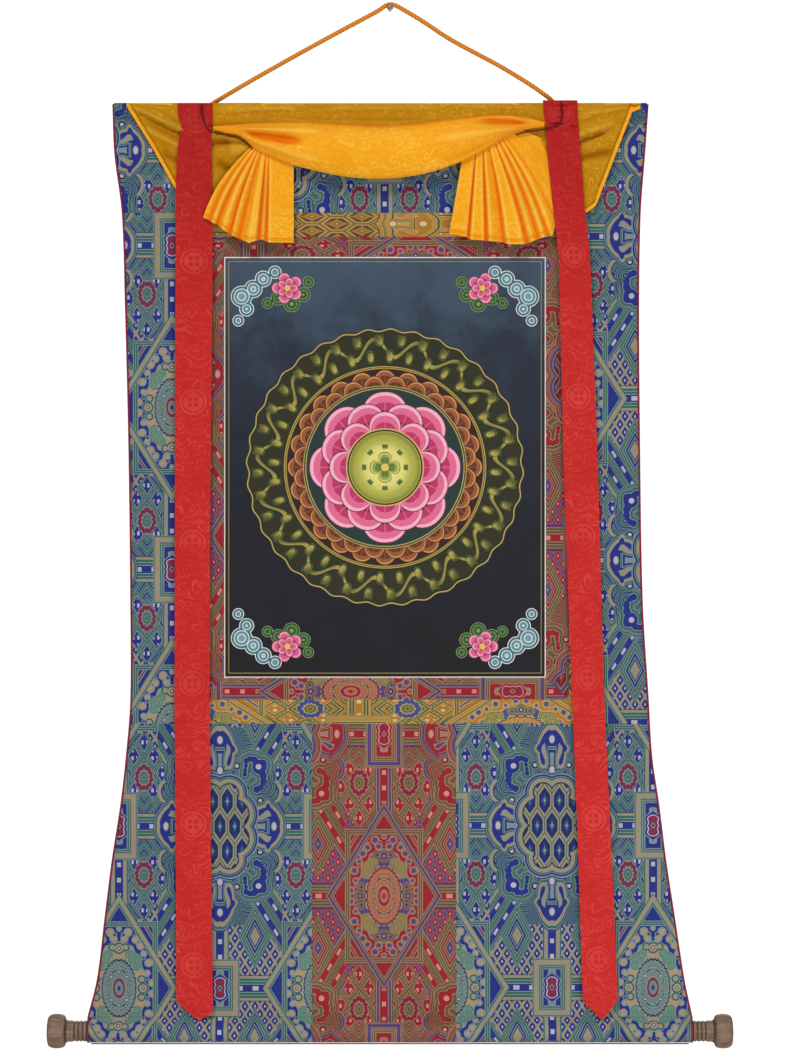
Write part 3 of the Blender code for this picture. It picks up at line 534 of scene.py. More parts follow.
def sleeve_path():
    """The line of the cloth from the lower seam round the dowel and up behind."""
    touch = math.acos(SLEEVE_RADIUS / (SLEEVE_STITCH - DOWEL_HEIGHT))
    front = steps(LOWER_SEAM - SEAM_GAP, SLEEVE_STITCH + 6, 5, SEAM_STEPS)
    path = [(0, z) for z in front]
    path += [(0.1, SLEEVE_STITCH + 3.4), (0.3, SLEEVE_STITCH + 1.6), (0.2, SLEEVE_STITCH),
             (1, SLEEVE_STITCH - 1.4)]
    turns = 40
    for i in range(turns + 1):
        angle = mix(touch, 2 * math.pi - touch, i / turns)
        path.append((SLEEVE_RADIUS * math.sin(angle),
                     DOWEL_HEIGHT + SLEEVE_RADIUS * math.cos(angle)))
    path += [(-2.9, SLEEVE_STITCH - 0.6), (-2.1, SLEEVE_STITCH + 3), (-2, SLEEVE_STITCH + 5),
             (-2, SLEEVE_ALLOWANCE_TOP)]
    return path


def lower_panels():
    """The three lower panels, each with its share of the dowel sleeve."""
    for name, left, right, slot in (
            ("blue_lower_left", panel_left, DOOR_LEFT, "blue_brocade"),
            ("red_door", DOOR_LEFT, DOOR_RIGHT, "red_brocade"),
            ("blue_lower_right", DOOR_RIGHT, panel_right, "blue_brocade")):
        piece, width, length = wrapped_panel(
            name, left, right, sleeve_path(), LOWER_SEAM, slot, (name,))
        width * MM
        length * MM


def mitred_strip(name, corners, spacing=4):
    """One mitred strip of the red frame, between its four corners."""
    (tl_x, tl_z), (tr_x, tr_z), (br_x, br_z), (bl_x, bl_z) = corners
    width, height = max(tr_x - tl_x, br_x - bl_x), max(tl_z - bl_z, tr_z - br_z)

    def spot(v, u):
        x = mix(mix(tl_x, bl_x, v), mix(tr_x, br_x, v), u)
        z = mix(mix(tl_z, tr_z, u), mix(bl_z, br_z, u), v)
        edge = min(u * width, (1 - u) * width, v * height, (1 - v) * height)
        return (x, ripple(x, z) + roll(edge), z), (x, z)

    grid, flats = woven(seam_shares(0, height, spacing), seam_shares(0, width, spacing), spot)
    piece = cloth(name, grid, flats, BROCADE_THICK, "red_brocade", (name,))
    if height < width:
        area = (tr_x - tl_x + br_x - bl_x) / 2 * height
    else:
        area = (tl_z - bl_z + tr_z - br_z) / 2 * width
    width * MM
    height * MM
    area * MM * MM


def red_frame():
    """Four mitred red strips between the yellow border and the canvas."""
    off = 0.2
    left, right = RED_LEFT + SEAM_GAP, RED_RIGHT - SEAM_GAP
    top, bottom = RED_TOP - SEAM_GAP, RED_BOTTOM + SEAM_GAP
    in_left, in_right = CANVAS_LEFT - SEAM_GAP, CANVAS_RIGHT + SEAM_GAP
    in_top, in_bottom = CANVAS_TOP + SEAM_GAP, CANVAS_BOTTOM - SEAM_GAP
    mitred_strip("red_top", ((left + off, top), (right - off, top),
                             (in_right - off, in_top), (in_left + off, in_top)))
    mitred_strip("red_bottom", ((in_left + off, in_bottom), (in_right - off, in_bottom),
                                (right - off, bottom), (left + off, bottom)))
    mitred_strip("red_left", ((left, top - off), (in_left, in_top - off),
                              (in_left, in_bottom + off), (left, bottom + off)))
    mitred_strip("red_right", ((in_right, in_top - off), (right, top - off),
                               (right, bottom + off), (in_right, in_bottom + off)))


def mount():
    """All the brocade and the canvas."""
    top_panel()
    for name, left, right, top, bottom in (
            ("blue_left", panel_left, YELLOW_LEFT, YELLOW_TOP, LOWER_SEAM),
            ("blue_right", YELLOW_RIGHT, panel_right, YELLOW_TOP, LOWER_SEAM),
            ("yellow_top", YELLOW_LEFT, YELLOW_RIGHT, YELLOW_TOP, RED_TOP),
            ("yellow_bottom", YELLOW_LEFT, YELLOW_RIGHT, RED_BOTTOM, LOWER_SEAM),
            ("yellow_left", YELLOW_LEFT, RED_LEFT, RED_TOP, RED_BOTTOM),
            ("yellow_right", RED_RIGHT, YELLOW_RIGHT, RED_TOP, RED_BOTTOM)):
        panel(name, left, right, top, bottom, name.split("_")[0] + "_brocade")
    red_frame()
    panel("canvas", CANVAS_LEFT, CANVAS_RIGHT, CANVAS_TOP, CANVAS_BOTTOM, "painted_canvas")
    lower_panels()


# ---------------------------------------------------------------- cords

def rope(name, path, radius, slot, nodes, strands, pitch, sides, groove=0.13):
    """A twisted cord along a path of points in metres, its strands as ridges, ends closed."""
    total = 0
    points, flats = [], []
    up = Vector((0, 1, 0))
    side = None
    for i, spot in enumerate(path):
        before, after = path[max(i - 1, 0)], path[min(i + 1, len(path) - 1)]
        run = (after - before).normalized()
        if side is None:
            side = run.cross(up).normalized()
            if side.length < 0.5:
                side = Vector((1, 0, 0))
        side = (side - run * side.dot(run)).normalized()
        over = run.cross(side)
        if i:
            total += (spot - path[i - 1]).length / MM
        for k in range(sides):
            angle = 2 * math.pi * k / sides
            swell = abs(math.cos(strands / 2 * (angle - 2 * math.pi * total / pitch)))
            reach = radius * MM * (1 - groove + groove * swell ** 0.7)
            points.append(spot + (side * math.cos(angle) + over * math.sin(angle)) * reach)
            flats.append((total, angle))
    rings = len(path)
    faces = []
    for j in range(rings - 1):
        for k in range(sides):
            n = (k + 1) % sides
            faces.append((j * sides + k, (j + 1) * sides + k, (j + 1) * sides + n, j * sides + n))
    faces.append(tuple(range(sides)))
    faces.append(tuple((rings - 1) * sides + k for k in reversed(range(sides))))
    mesh = bpy.data.meshes.new(name)
    mesh.from_pydata(points, [], faces)
    layer = mesh.uv_layers.new(name="cord")
    for face in mesh.polygons:
        wraps = {flats[v][1] for v in face.vertices} >= {0, 2 * math.pi * (sides - 1) / sides}
        for loop in face.loop_indices:
            distance, angle = flats[mesh.loops[loop].vertex_index]
            if wraps and angle == 0 and len(face.vertices) == 4:
                angle = 2 * math.pi
            layer.data[loop].uv = (distance * MM, angle / (2 * math.pi))
        face.use_smooth = len(face.vertices) == 4
    outward(mesh)
    return finished(name + "_twist", mesh, slot, nodes)


def cord_path(rows, spacing):
    return [place(*spot) for spot in curve_through(rows, spacing)]


def length_of(path):
    return sum((far - near).length for near, far in zip(path, path[1:]))


def free_cords():
    """The hanging cord and the two ties."""
    cords = (
        # name, route, radius, slot, spacing, strands, pitch, sides, lay
        ("hanging_cord", HANGING_CORD, CORD_RADIUS, "orange_cord", 1, 3, 13, 18, "taut"),
        ("tie_left", TIE_LEFT, TIE_RADIUS, "tie_cord", 0.5, 2, 3.4, 10, "hanging"),
        ("tie_right", TIE_RIGHT, TIE_RADIUS, "tie_cord", 0.5, 2, 3.4, 10, "hanging"),
    )
    for name, route, radius, slot, spacing, strands, pitch, sides, lay in cords:
        path = cord_path(route, spacing)
        piece = rope(name, path, radius, slot, (name,), strands, pitch, sides)
        tuple(path[0])
        length_of(path)
        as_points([tuple(p) for p in path[::8]] + [tuple(path[-1])])


def pipings():
    """The dark red cord sewn along both sides, and the thin one under the sleeve."""
    for name, edge, away in (("piping_left", panel_left, -1), ("piping_right", panel_right, 1)):
        spots = [(0, z) for z in steps(CLOTH_TOP - 1.5, SLEEVE_STITCH + 4, 8)]
        spots += [spot for spot in sleeve_path()[:-2] if spot[1] < SLEEVE_STITCH + 1]
        rows = []
        for forward, z in spots:
            rows.append((edge(z) + away * (0.1 + PIPING_RADIUS), forward + ripple(edge(z), z), z))
        rope(name, cord_path(rows, 0.9), PIPING_RADIUS, "piping", (name,), 2, 4.2, 8)
    half = DOWEL_HALF_LENGTH - 2
    z = SLEEVE_BOTTOM - 0.3 - BOTTOM_PIPING_RADIUS
    rows = [(mix(-half, half, i / 40), 0, z) for i in range(41)]
    rope("piping_bottom", cord_path(rows, 0.9), BOTTOM_PIPING_RADIUS, "piping",
         ("piping_bottom",), 2, 3, 8)


# ---------------------------------------------------------------- silk

def streamer(name, rows, end, pinches):
    """A hanging ribbon with a pinch at the tie and a pointed end, with painted shade in the
    pinches and towards its top.
    """
    top, low = rows[0][0], rows[-1][0]
    tip = (end["tip_x"] - rows[-1][1]) / (rows[-1][2] - rows[-1][1])

    def foot(u):
        if u < tip:
            return mix(end["left_z"], end["tip_z"], u / tip)
        return mix(end["tip_z"], end["right_z"], (u - tip) / (1 - tip))

    def spot(down, u):
        z = mix(top, foot(u), down)
        at = max(z, low)
        crown = 0.5 * math.sin(math.pi * u) * math.sin(z / 37)
        for pinch_u, wide, pinch_z, high, rise in pinches:
            crown += rise * math.exp(-((u - pinch_u) / wide) ** 2 - ((z - pinch_z) / high) ** 2)
        x = mix(smooth(rows, at, 1), smooth(rows, at, 2), u)
        # Painted shade in the pinches, and painted shade darkening the ribbon towards its top.
        pinch_shade = ease((-crown - 0.5) / 0.8)
        shaded = 0.45 * ease((z + 420) / 300)
        return ((x, smooth(rows, at, 3) + crown, z),
                ((u - 0.5) * STREAMER_WIDTH, z, max(pinch_shade, shaded)))

    us = sorted({tip, *(i / 28 for i in range(29)), 0.01, 0.99})
    downs = [0.06 * j / 56 for j in range(56)] + [0.06 + 0.94 * j / 186 for j in range(187)]
    grid, flats = woven(downs, us, spot)
    piece = cloth(name, grid, flats, SILK_THICK, "red_silk", (name,))
    abs(top - end["tip_z"]) * MM


def crease(x, z, tie, direction, half_width):
    """How strongly a crease that runs out from a tie shows at a place, and how far out."""
    tie_x, tie_z = TIE_POINTS[tie]
    angle = math.degrees(math.atan2(z - tie_z, x - tie_x))
    away = (angle - direction + 180) % 360 - 180
    return bump(away, half_width), math.hypot(x - tie_x, z - tie_z)


def band_forward(x, z):
    """How far the cover's flat layer stands forward: over the hem, with its creases."""
    forward = BAND_REST - 0.7 * ease((CLOTH_TOP - TOP_HEM_HEIGHT - z) / 40)
    for start_x, start_z, end_x, end_z, half_width, rise in BAND_CREASES:
        run = Vector((end_x - start_x, end_z - start_z))
        from_start = Vector((x - start_x, z - start_z))
        share = from_start.dot(run) / run.length_squared
        aside = (from_start - run * share).length
        if -0.3 < share < 1.3:
            forward += (rise * bump(aside, half_width) * ease((share + 0.3) / 0.4)
                        * ease((1.3 - share) / 0.4) * ease((CLOTH_TOP - 2 - z) / 8))
    lowest = mix(2.4, BAND_OVER_HEM, ease((z - CLOTH_TOP + TOP_HEM_HEIGHT + 8) / 8))
    return max(forward, lowest)


def edge_distance(x, z):
    """How far a spot of the flat layer lies inside its lower edge."""
    slope = (linear(COVER_BAND, x + 2, 1) - linear(COVER_BAND, x - 2, 1)) / 4
    return (z - linear(COVER_BAND, x, 1)) / math.hypot(1, slope)


def cover_band():
    """The flat layer of the cover, from the tip of one wing to the other, its edge hemmed."""
    def spot(share, x):
        z = mix(COVER_TOP, linear(COVER_BAND, x, 1), share)
        to_edge, forward = edge_distance(x, z), band_forward(x, z)
        # Painted shade along the inside of the hem and in the hollows, and a painted highlight on
        # the ridges, go to the second map.
        hem_shade = bump(to_edge - HEM_WIDTH + 0.4, 1)
        hollow_shade, ridge = ease((BAND_OVER_HEM - forward) / 2.6), ease((forward - BAND_REST) / 2.6)
        hemmed = forward + HEM_RISE * ease((HEM_WIDTH - to_edge) / 1.6)
        return (x, hemmed, z), (x, z, max(hem_shade, hollow_shade), ridge)

    corners = {row[0] for row in COVER_BAND}
    xs = sorted(corners | {round(x, 2) for x in steps(min(corners), max(corners), 3)})
    shares = [i / 40 for i in range(36)] + [0.89, 0.905, 0.92, 0.935, 0.95, 0.965, 0.98, 0.99, 1]
    return woven(shares, xs, spot)


def section_at(share):
    """The swag's section at a share of its rows, on a smooth curve."""
    rows = [(float(i), *row) for i, row in enumerate(SWAG_SECTION)]
    at = share * (len(rows) - 1)
    return tuple(smooth(rows, at, column) for column in (1, 2, 3))


def cover_swag():
    """The gathered swag, rolled over above and folded back below."""
    rows, fullest_drop = 60, 62
    sections = [section_at(j / rows) for j in range(rows + 1)]
    run = along([(share * fullest_drop, forward) for share, forward, _ in sections])

    def spot(j, x):
        (share, fullest, at_tie), down = sections[j], j / rows
        roll_z, fold_z, full = (smooth(SWAG, x, column) for column in (1, 2, 3))
        z = mix(roll_z, fold_z, share)
        plain = forward = mix(at_tie, fullest, full)
        shown = ease((down - 0.12) / 0.1) * ease((0.66 - down) / 0.1)
        for tie, direction, half_width, start, end, rise in SWAG_CREASES:
            strength, away = crease(x, z, tie, direction, half_width)
            forward += (rise * strength * ease((away - start) / 20)
                        * ease((end - away) / 40) * shown)
        # Painted shade in the hollows, under the upper roll and where the swag hangs less full by
        # the ties, and a painted highlight on its ridges.
        depth = max(ease((plain - forward) / 4), 0.8 * (1 - ease(down / 0.2)),
                    0.4 * (1 - full) * shown)
        ridge = ease((forward - plain - 0.4) / 2.4)
        return ((x, max(forward, min(at_tie, fullest) - 0.4), z),
                (x, COVER_TOP - 25 - run[j], depth, ridge))

    return woven(range(rows + 1), steps(SWAG[0][0], SWAG[-1][0], 3), spot)


def cover_fan(folds):
    """A pleated fan that spreads from under the swag to its hem."""
    # Painted shade in the valley of each fold and a painted highlight on its crest, by how far it
    # lies behind or before its neighbours.
    valley_shades, crest_highlights = [0], [0.6]
    for before, fold, after in zip(folds, folds[1:], folds[2:]):
        stands = fold[4] - (before[4] + after[4]) / 2
        valley_shades.append(ease(-stands / 2.6))
        crest_highlights.append(ease(stands / 2))
    valley_shades.append(0.2)
    crest_highlights.append(0.6)
    middles = [((fold[0] + fold[2]) / 2, (fold[1] + fold[3]) / 2) for fold in folds]
    widths = [80 + run for run in along(middles)]
    ats = []
    for i, (near, far) in enumerate(zip(folds, folds[1:])):
        count = max(4, round(abs(far[2] - near[2]) / 2.2))
        ats += [i + k / count for k in range(count)]
    ats.append(float(len(folds) - 1))

    def spot(t, at):
        low = min(int(at), len(folds) - 2)
        past = at - low
        share = ease(past)
        near, far = folds[low], folds[low + 1]
        top_x, top_z, hem_x, hem_z, _, bow, _ = (mix(a, b, past) for a, b in zip(near, far))
        hem_forward, lift = mix(near[4], far[4], share), mix(near[6], far[6], share)
        swing = math.sin(math.pi * t)
        forward = mix(FAN_TOP_FORWARD, hem_forward, t ** 0.8) + lift * swing
        hem_shade = 0.6 * bump(t - 0.955, 0.012)
        width = widths[low + 1] - widths[low]

        def beside(strengths, reach):
            return max(strengths[low] * bump(past * width, reach),
                       strengths[low + 1] * bump((1 - past) * width, reach))

        # Painted shade: along the hem, in the valleys, and a little across each fold.
        soft = 0.3 * mix(valley_shades[low], valley_shades[low + 1], share)
        depth = max(hem_shade, beside(valley_shades, 2), soft) * ease(t * 2 + 0.5)
        return ((mix(top_x, hem_x, t) + bow * swing, forward, mix(top_z, hem_z, t)),
                (mix(widths[low], widths[low + 1], past), -200 - 110 * t, depth,
                 beside(crest_highlights, 1.6)))

    return woven([j / 30 for j in range(28)] + [0.93, 0.945, 0.955, 0.965, 0.98, 1], ats, spot)


def cover():
    """The silk cover: flat layer, swag and fans of one cloth."""
    made = [cloth(name, *shape, SILK_THICK, "yellow_silk") for name, shape in (
        ("cover", cover_band()), ("cover_swag", cover_swag()),
        ("cover_fan_left", cover_fan(FAN_LEFT)), ("cover_fan_right", cover_fan(FAN_RIGHT)))]
    # The flat layer takes a darker copy of the yellow silk as painted shade; the swag and the fans
    # take the yellow silk itself.
    for piece, tone in zip(made, ("yellow_silk_shaded", "yellow_silk", "yellow_silk", "yellow_silk")):
        for slot in piece.material_slots:
            slot.material = FINISHES[tone]
    band = made[0].data
    for _ in range(2):
        band.materials.append(FINISHES["yellow_silk"])
    # Its hem and its top edge take the yellow silk again, as a painted highlight.
    for face in band.polygons:
        x, z = face.center.x / MM, face.center.z / MM
        if edge_distance(x, z) < HEM_WIDTH - 1.2 or z > COVER_TOP - 1.2:
            face.material_index += 2
    bpy.ops.object.select_all(action="DESELECT")
    for piece in made:
        piece.select_set(True)
    bpy.context.view_layer.objects.active = made[0]
    bpy.ops.object.join()
    piece = bpy.context.view_layer.objects.active
    piece.name = "silk_cover"
    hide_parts("cover")


# ---------------------------------------------------------------- stitching

def stitch_row(spots, length, gap, radius):
    """Small rounded stitches along a row of points: their points in metres, and their faces."""
    run = along(spots)
    points, faces = [], []
    sides, reach = 6, (0.35, 1, 1, 0.35)
    at = gap
    while at + length < run[-1]:
        ends = []
        for distance in (at, at + length):
            i = max(k for k in range(len(run) - 1) if run[k] <= distance)
            share = (distance - run[i]) / (run[i + 1] - run[i])
            ends.append(Vector([mix(a, b, share) for a, b in zip(spots[i], spots[i + 1])]))
        step = (ends[1] - ends[0]).normalized()
        out = (Vector((0, 1, 0)) - step * step.y).normalized()
        side = step.cross(out)
        first = len(points)
        for ring, share in enumerate((0, 0.25, 0.75, 1)):
            lift = 0.35 * radius if 0 < ring < 3 else -0.2 * radius
            middle = ends[0].lerp(ends[1], share) + out * lift
            for k in range(sides):
                angle = 2 * math.pi * k / sides
                spoke = (side * math.cos(angle) + out * math.sin(angle)) * radius * reach[ring]
                points.append(place(*(middle + spoke)))
        for ring in range(3):
            for k in range(sides):
                n = (k + 1) % sides
                low = first + ring * sides
                faces.append((low + k, low + n, low + sides + n, low + sides + k))
        faces.append(tuple(first + k for k in reversed(range(sides))))
        faces.append(tuple(first + 3 * sides + k for k in range(sides)))
        at += length + gap
    return points, faces


def stitches(name, rows, length, gap, radius, slot):
    """All the stitches of one thread, as one piece."""
    slot, thread_name = slot
    points, faces = [], []
    for spots in rows:
        more, joined = stitch_row(spots, length, gap, radius)
        faces += [tuple(len(points) + corner for corner in face) for face in joined]
        points += more
    mesh = bpy.data.meshes.new(name)
    mesh.from_pydata(points, [], faces)
    outward(mesh)
    for face in mesh.polygons:
        face.use_smooth = True
    mesh.materials.append(FINISHES[thread_name])
    finished(name, mesh, slot)


def stitching():
    """The seams that show: the cover's hems, the streamers' ends and the sleeve's seam."""
    out = SILK_THICK / 2
    hems = []
    for start, end in ((-308, -246), (247.6, 290)):
        row = []
        for x in steps(start, end, 2):
            slope = (linear(COVER_BAND, x + 1, 1) - linear(COVER_BAND, x - 1, 1)) / 2
            inward = Vector((-slope, 1)).normalized() * (HEM_WIDTH - 1.4)
            spot_x, z = x + inward.x, linear(COVER_BAND, x, 1) + inward.y
            row.append((spot_x, band_forward(spot_x, z) + HEM_RISE + out, z))
        hems.append(row)
    for grid, _ in (cover_fan(FAN_LEFT), cover_fan(FAN_RIGHT)):
        row = []
        for near, far in zip(grid[-2], grid[-1]):
            x, forward, z = (mix(a, b, -0.1) for a, b in zip(near, far))
            row.append((x, forward + out, z))
        hems.append(row)
    stitches("cover_stitches", hems, 2.4, 0.9, 0.26, ("yellow_silk", "yellow_thread"))
    ends = []
    for rows, end in ((STREAMER_LEFT, STREAMER_LEFT_END), (STREAMER_RIGHT, STREAMER_RIGHT_END)):
        _, left, right, forward = rows[-1]
        rise = 6
        ends.append([(mix(left, right, 0.04), forward + out, end["left_z"] + rise),
                     (end["tip_x"], forward + out + 0.1, end["tip_z"] + rise),
                     (mix(left, right, 0.96), forward + out, end["right_z"] + rise)])
    stitches("streamer_stitches", ends, 2.4, 0.9, 0.24, ("red_silk", "red_thread"))
    edge_left, edge_right = panel_left(SLEEVE_STITCH) + 3, panel_right(SLEEVE_STITCH) - 3
    seam = [(x, 0.2 + BROCADE_THICK / 2, SLEEVE_STITCH) for x in steps(edge_left, edge_right, 20)]
    stitches("sleeve_stitches", [seam], 3, 1.2, 0.3, ("blue_brocade", "dark_thread"))


# ---------------------------------------------------------------- wood and metal

def turned(name, profile, start, direction, slot, nodes, sides=48):
    """A turned piece: a circle drawn out along its axis through a profile."""
    axis = Vector(direction)
    spin = axis.to_track_quat("Z", "Y").to_euler()
    bpy.ops.object.select_all(action="DESELECT")
    radius, distance = profile[0]
    bpy.ops.mesh.primitive_circle_add(
        vertices=sides, radius=radius * MM, fill_type="NGON",
        location=start + axis * distance * MM, rotation=spin)
    piece = bpy.context.view_layer.objects.active
    bpy.ops.object.transform_apply(location=True, rotation=True, scale=True)
    bpy.ops.object.mode_set(mode="EDIT")
    bpy.ops.mesh.select_all(action="SELECT")
    for (old_radius, old_distance), (radius, distance) in zip(profile, profile[1:]):
        step = axis * (distance - old_distance) * MM
        bpy.ops.mesh.extrude_region_move(TRANSFORM_OT_translate={"value": tuple(step)})
        grow = radius / old_radius
        size = [grow if abs(part) < 0.5 else 1 for part in axis]
        bpy.ops.transform.resize(value=size, center_override=tuple(start + axis * distance * MM))
    bpy.ops.mesh.select_all(action="SELECT")
    bpy.ops.mesh.normals_make_consistent(inside=False)
    bpy.ops.object.mode_set(mode="OBJECT")
    piece.name = name + "_turned"
    bpy.ops.object.shade_smooth_by_angle(angle=math.radians(40))
    piece.select_set(False)
    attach(piece, "root")
    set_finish(piece, slot)
    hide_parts(*nodes)
    return piece


def knob_profile():
    """The knob from its tip back over the ball and collar and into its socket."""
    collar, groove, ball_length, ball_radius, neck, neck_at = 12.3, 1, 21, 20.5, 13.4, 26
    total = neck_at + ball_length
    profile = [(0.4, total), (6, total)]
    count = 22
    for i in range(1, count + 1):
        angle = math.pi * i / (count + 1)
        swell = math.sin(angle) ** 0.55
        radius = mix(11.5 if i < count / 2 else neck + 1.4, ball_radius, swell)
        profile.append((radius, total - ball_length / 2 * (1 - math.cos(angle))))
    profile += [(neck + 1.6, neck_at - 0.4), (neck + 0.2, neck_at - 1.4), (neck - 0.6, 22.4),
                (collar, 20.4), (collar + 0.6, 19.2), (collar + 0.5, 18), (collar, 17)]
    for centre in GROOVES:
        for depth, aside in ((0, 1.4), (0.6, 0.8), (1, 0), (0.6, -0.8), (0, -1.4)):
            profile.append((collar - depth * groove, centre + aside))
    return profile + [(collar, 1), (collar - 0.4, 0.2), (collar - 1, 0), (6.3, 0), (6.3, 11.6),
                      (0.4, 11.6)]


def wood_and_nail():
    """The two knobs and the nail."""
    for name, sign in (("knob_left", -1), ("knob_right", 1)):
        start = place(sign * KNOB_START, 0, DOWEL_HEIGHT)
        turned(name, knob_profile(), start, (sign, 0, 0), "turned_wood", (name,))
    head = 20.6
    nail = [(0.3, head + 0.5), (2.2, head + 0.3), (3.2, head), (3.6, head - 0.5),
            (3.6, head - 1.2), (3.2, head - 1.5), (1.6, head - 1.9), (1.5, head - 2.6),
            (1.5, 0.2), (1.4, 0), (0.3, 0)]
    turned("nail", nail, Vector((0, 0, 0)), (0, -1, 0), "nail_steel", ("nail",), 28)


# ---------------------------------------------------------------- materials

class Value:
    """A number or colour that a shader works out, so that sums are written as sums."""

    def __init__(self, finish, socket):
        self.finish, self.socket = finish, socket

    def sum(self, operation, *parts):
        return self.finish.node("Math", {"operation": operation}, dict(enumerate(parts)))

    def __rsub__(self, other):
        return self.sum("SUBTRACT", other, self)

    def fold(self, span=1):
        return self.sum("PINGPONG", self, span)

    def wave(self, length):
        return (self * (2 * math.pi / length)).sine()


def sum_with(operation):
    """A method that works out one operation on a value and the parts it is given."""
    return lambda self, *parts: self.sum(operation, self, *parts)


for method, operation in (
        ("__add__", "ADD"), ("__radd__", "ADD"), ("__sub__", "SUBTRACT"), ("__mul__", "MULTIPLY"),
        ("__rmul__", "MULTIPLY"), ("__truediv__", "DIVIDE"), ("__abs__", "ABSOLUTE"),
        ("fma", "MULTIPLY_ADD"), ("least", "MINIMUM"), ("most", "MAXIMUM"),
        ("under", "LESS_THAN"), ("over", "GREATER_THAN"), ("within", "COMPARE"),
        ("sine", "SINE"), ("power", "POWER")):
    setattr(Value, method, sum_with(operation))


class Finish:
    """One material, built node by node."""

    def __init__(self, name):
        self.material = bpy.data.materials.new(name)
        self.material.use_nodes = True
        self.tree = self.material.node_tree
        self.shader = self.tree.nodes["Principled BSDF"]
        self.colour = None

    def node(self, kind, settings=None, sockets=None, out=0):
        """A node of a kind, its settings first, then the values or links of its sockets."""
        made = self.tree.nodes.new("ShaderNode" + kind)
        for key, value in (settings or {}).items():
            setattr(made, key, value)
        for key, value in (sockets or {}).items():
            if isinstance(value, Value):
                self.tree.links.new(value.socket, made.inputs[key])
            else:
                made.inputs[key].default_value = value
        return Value(self, made.outputs[out])

    def paint(self, under, over, share):
        """One colour laid over another where the share is 1."""
        over = over if isinstance(over, Value) else (*over, 1)
        under = under if isinstance(under, Value) else (*under, 1)
        return self.node("Mix", {"data_type": "RGBA"}, {0: share, 6: under, 7: over}, 2)

    def lay(self, over, share):
        """Lay a colour over all that was painted so far, where the share is 1."""
        self.colour = self.paint(self.colour, over, share)

    def ramp(self, level, stops, between="CONSTANT"):
        """Colours by a level from 0 to 1."""
        made = self.node("ValToRGB", None, {0: level})
        ramp = made.socket.node.color_ramp
        ramp.interpolation = between
        for start, colour in stops[1:-1]:
            ramp.elements.new(start).color = (*colour, 1)
        ramp.elements[0].color = (*stops[0][1], 1)
        ramp.elements[-1].position = stops[-1][0]
        ramp.elements[-1].color = (*stops[-1][1], 1)
        return made

    def rings(self, at, high, stops):
        """Bands of colour by a distance: each stop is where its colour starts."""
        low = stops[0][0]
        spread = high - low
        level = at.fma(1 / spread, -low / spread)
        stops = [((start - low) / spread, colour) for start, colour in stops]
        return self.ramp(level, stops, "CONSTANT" if len(stops) > 2 else "LINEAR")

    def split(self, vector):
        """The three parts of a vector."""
        first = self.node("SeparateXYZ", None, {0: vector})
        return tuple(Value(self, output) for output in first.socket.node.outputs)

    def flat(self, name="cloth"):
        """A piece's own coordinates: of the cloth, in metres, unless another map is named."""
        return self.node("UVMap", {"uv_map": name})

    def place(self):
        """Where a spot of the object lies, in metres."""
        return self.node("TexCoord", None, None, 3)

    def spot(self, x, y):
        return self.node("CombineXYZ", None, {0: x, 1: y})

    def away(self, x, y):
        """How far a spot is from the middle."""
        return self.node("VectorMath", {"operation": "LENGTH"}, {0: self.spot(x, y)}, 1)

    def shaded(self, colour, shade):
        return self.node("VectorMath", {"operation": "SCALE"}, {0: colour, "Scale": shade})

    def stretched(self, vector, scales):
        return self.node("Mapping", None, {"Vector": vector, "Scale": scales})

    def noise(self, vector, scale, detail=2, roughness=0.5):
        return self.node("TexNoise", None, {
            "Vector": vector, "Scale": scale, "Detail": detail, "Roughness": roughness})

    def end(self, colour, rough, height=None, depth=0.0002, **constants):
        """Join what was worked out to the shader, and set its constants."""
        sockets = self.shader.inputs
        for name, value in (("Base Color", colour), ("Roughness", rough)):
            if isinstance(value, Value):
                self.tree.links.new(value.socket, sockets[name])
            else:
                sockets[name].default_value = value
        if height is not None:
            relief = self.node("Bump", None, {"Height": height, "Distance": depth, "Strength": 1})
            self.tree.links.new(relief.socket, sockets["Normal"])
        for name, value in constants.items():
            sockets[name.replace("_", " ")].default_value = value
        return self.material


def tint(red, green, blue):
    """A colour from its 0 to 255 screen values."""
    def straight_light(level):
        level /= 255
        return level / 12.92 if level <= 0.04045 else ((level + 0.055) / 1.055) ** 2.4
    return tuple(straight_light(level) for level in (red, green, blue))


# The colours of the yarns.
YARNS = (
    # yarn, in the blue brocade, in the red one, in the yellow one
    ("ground", (24, 42, 136), (164, 16, 38), (192, 126, 30)),
    ("light", (134, 152, 150), (172, 134, 108), (200, 168, 104)),
    ("green", (46, 104, 92), (96, 84, 40), (78, 98, 50)),
    ("band", (170, 148, 116), (92, 64, 122), (196, 144, 60)),
    ("flower", (136, 34, 74), (150, 24, 60), (60, 80, 150)),
    ("dot", (196, 190, 200), (220, 150, 136), (228, 206, 150)),
    ("dark", (26, 34, 78), (96, 16, 34), (92, 74, 60)),
    ("scroll", (76, 136, 104), (132, 128, 44), (104, 126, 56)),
    ("cloud", (186, 152, 116), (92, 64, 130), (72, 84, 140)),
    ("eye", (112, 136, 132), (206, 96, 66), (214, 130, 60)),
)
# A step of the chart, and the half width and half height of its repeat in steps.
CHART = 1.2 * MM
HALF_WIDE, HALF_HIGH = 101, 162


def blobs(f, spot, circles, soften=1.2):
    """The distance outside a shape of circles that run into each other: x, y, radius."""
    shape = None
    for x, y, radius in circles:
        part = f.node("VectorMath", {"operation": "DISTANCE"}, {0: spot, 1: (x, y, 0)}, 1) - radius
        shape = part if shape is None else shape.sum("SMOOTH_MIN", shape, part, soften)
    return shape


def outline(f, x, y, rim):
    """The distance outside an outline of angles and reaches, alike on both sides of its axis."""
    most = 25
    turn = abs(y).sum("ARCTAN2", abs(y), x) / math.pi
    stops = [(angle / 180, (reach / most,) * 3) for angle, reach in rim]
    reach = f.ramp(turn, stops, "LINEAR")
    return f.away(x, y) - reach * most


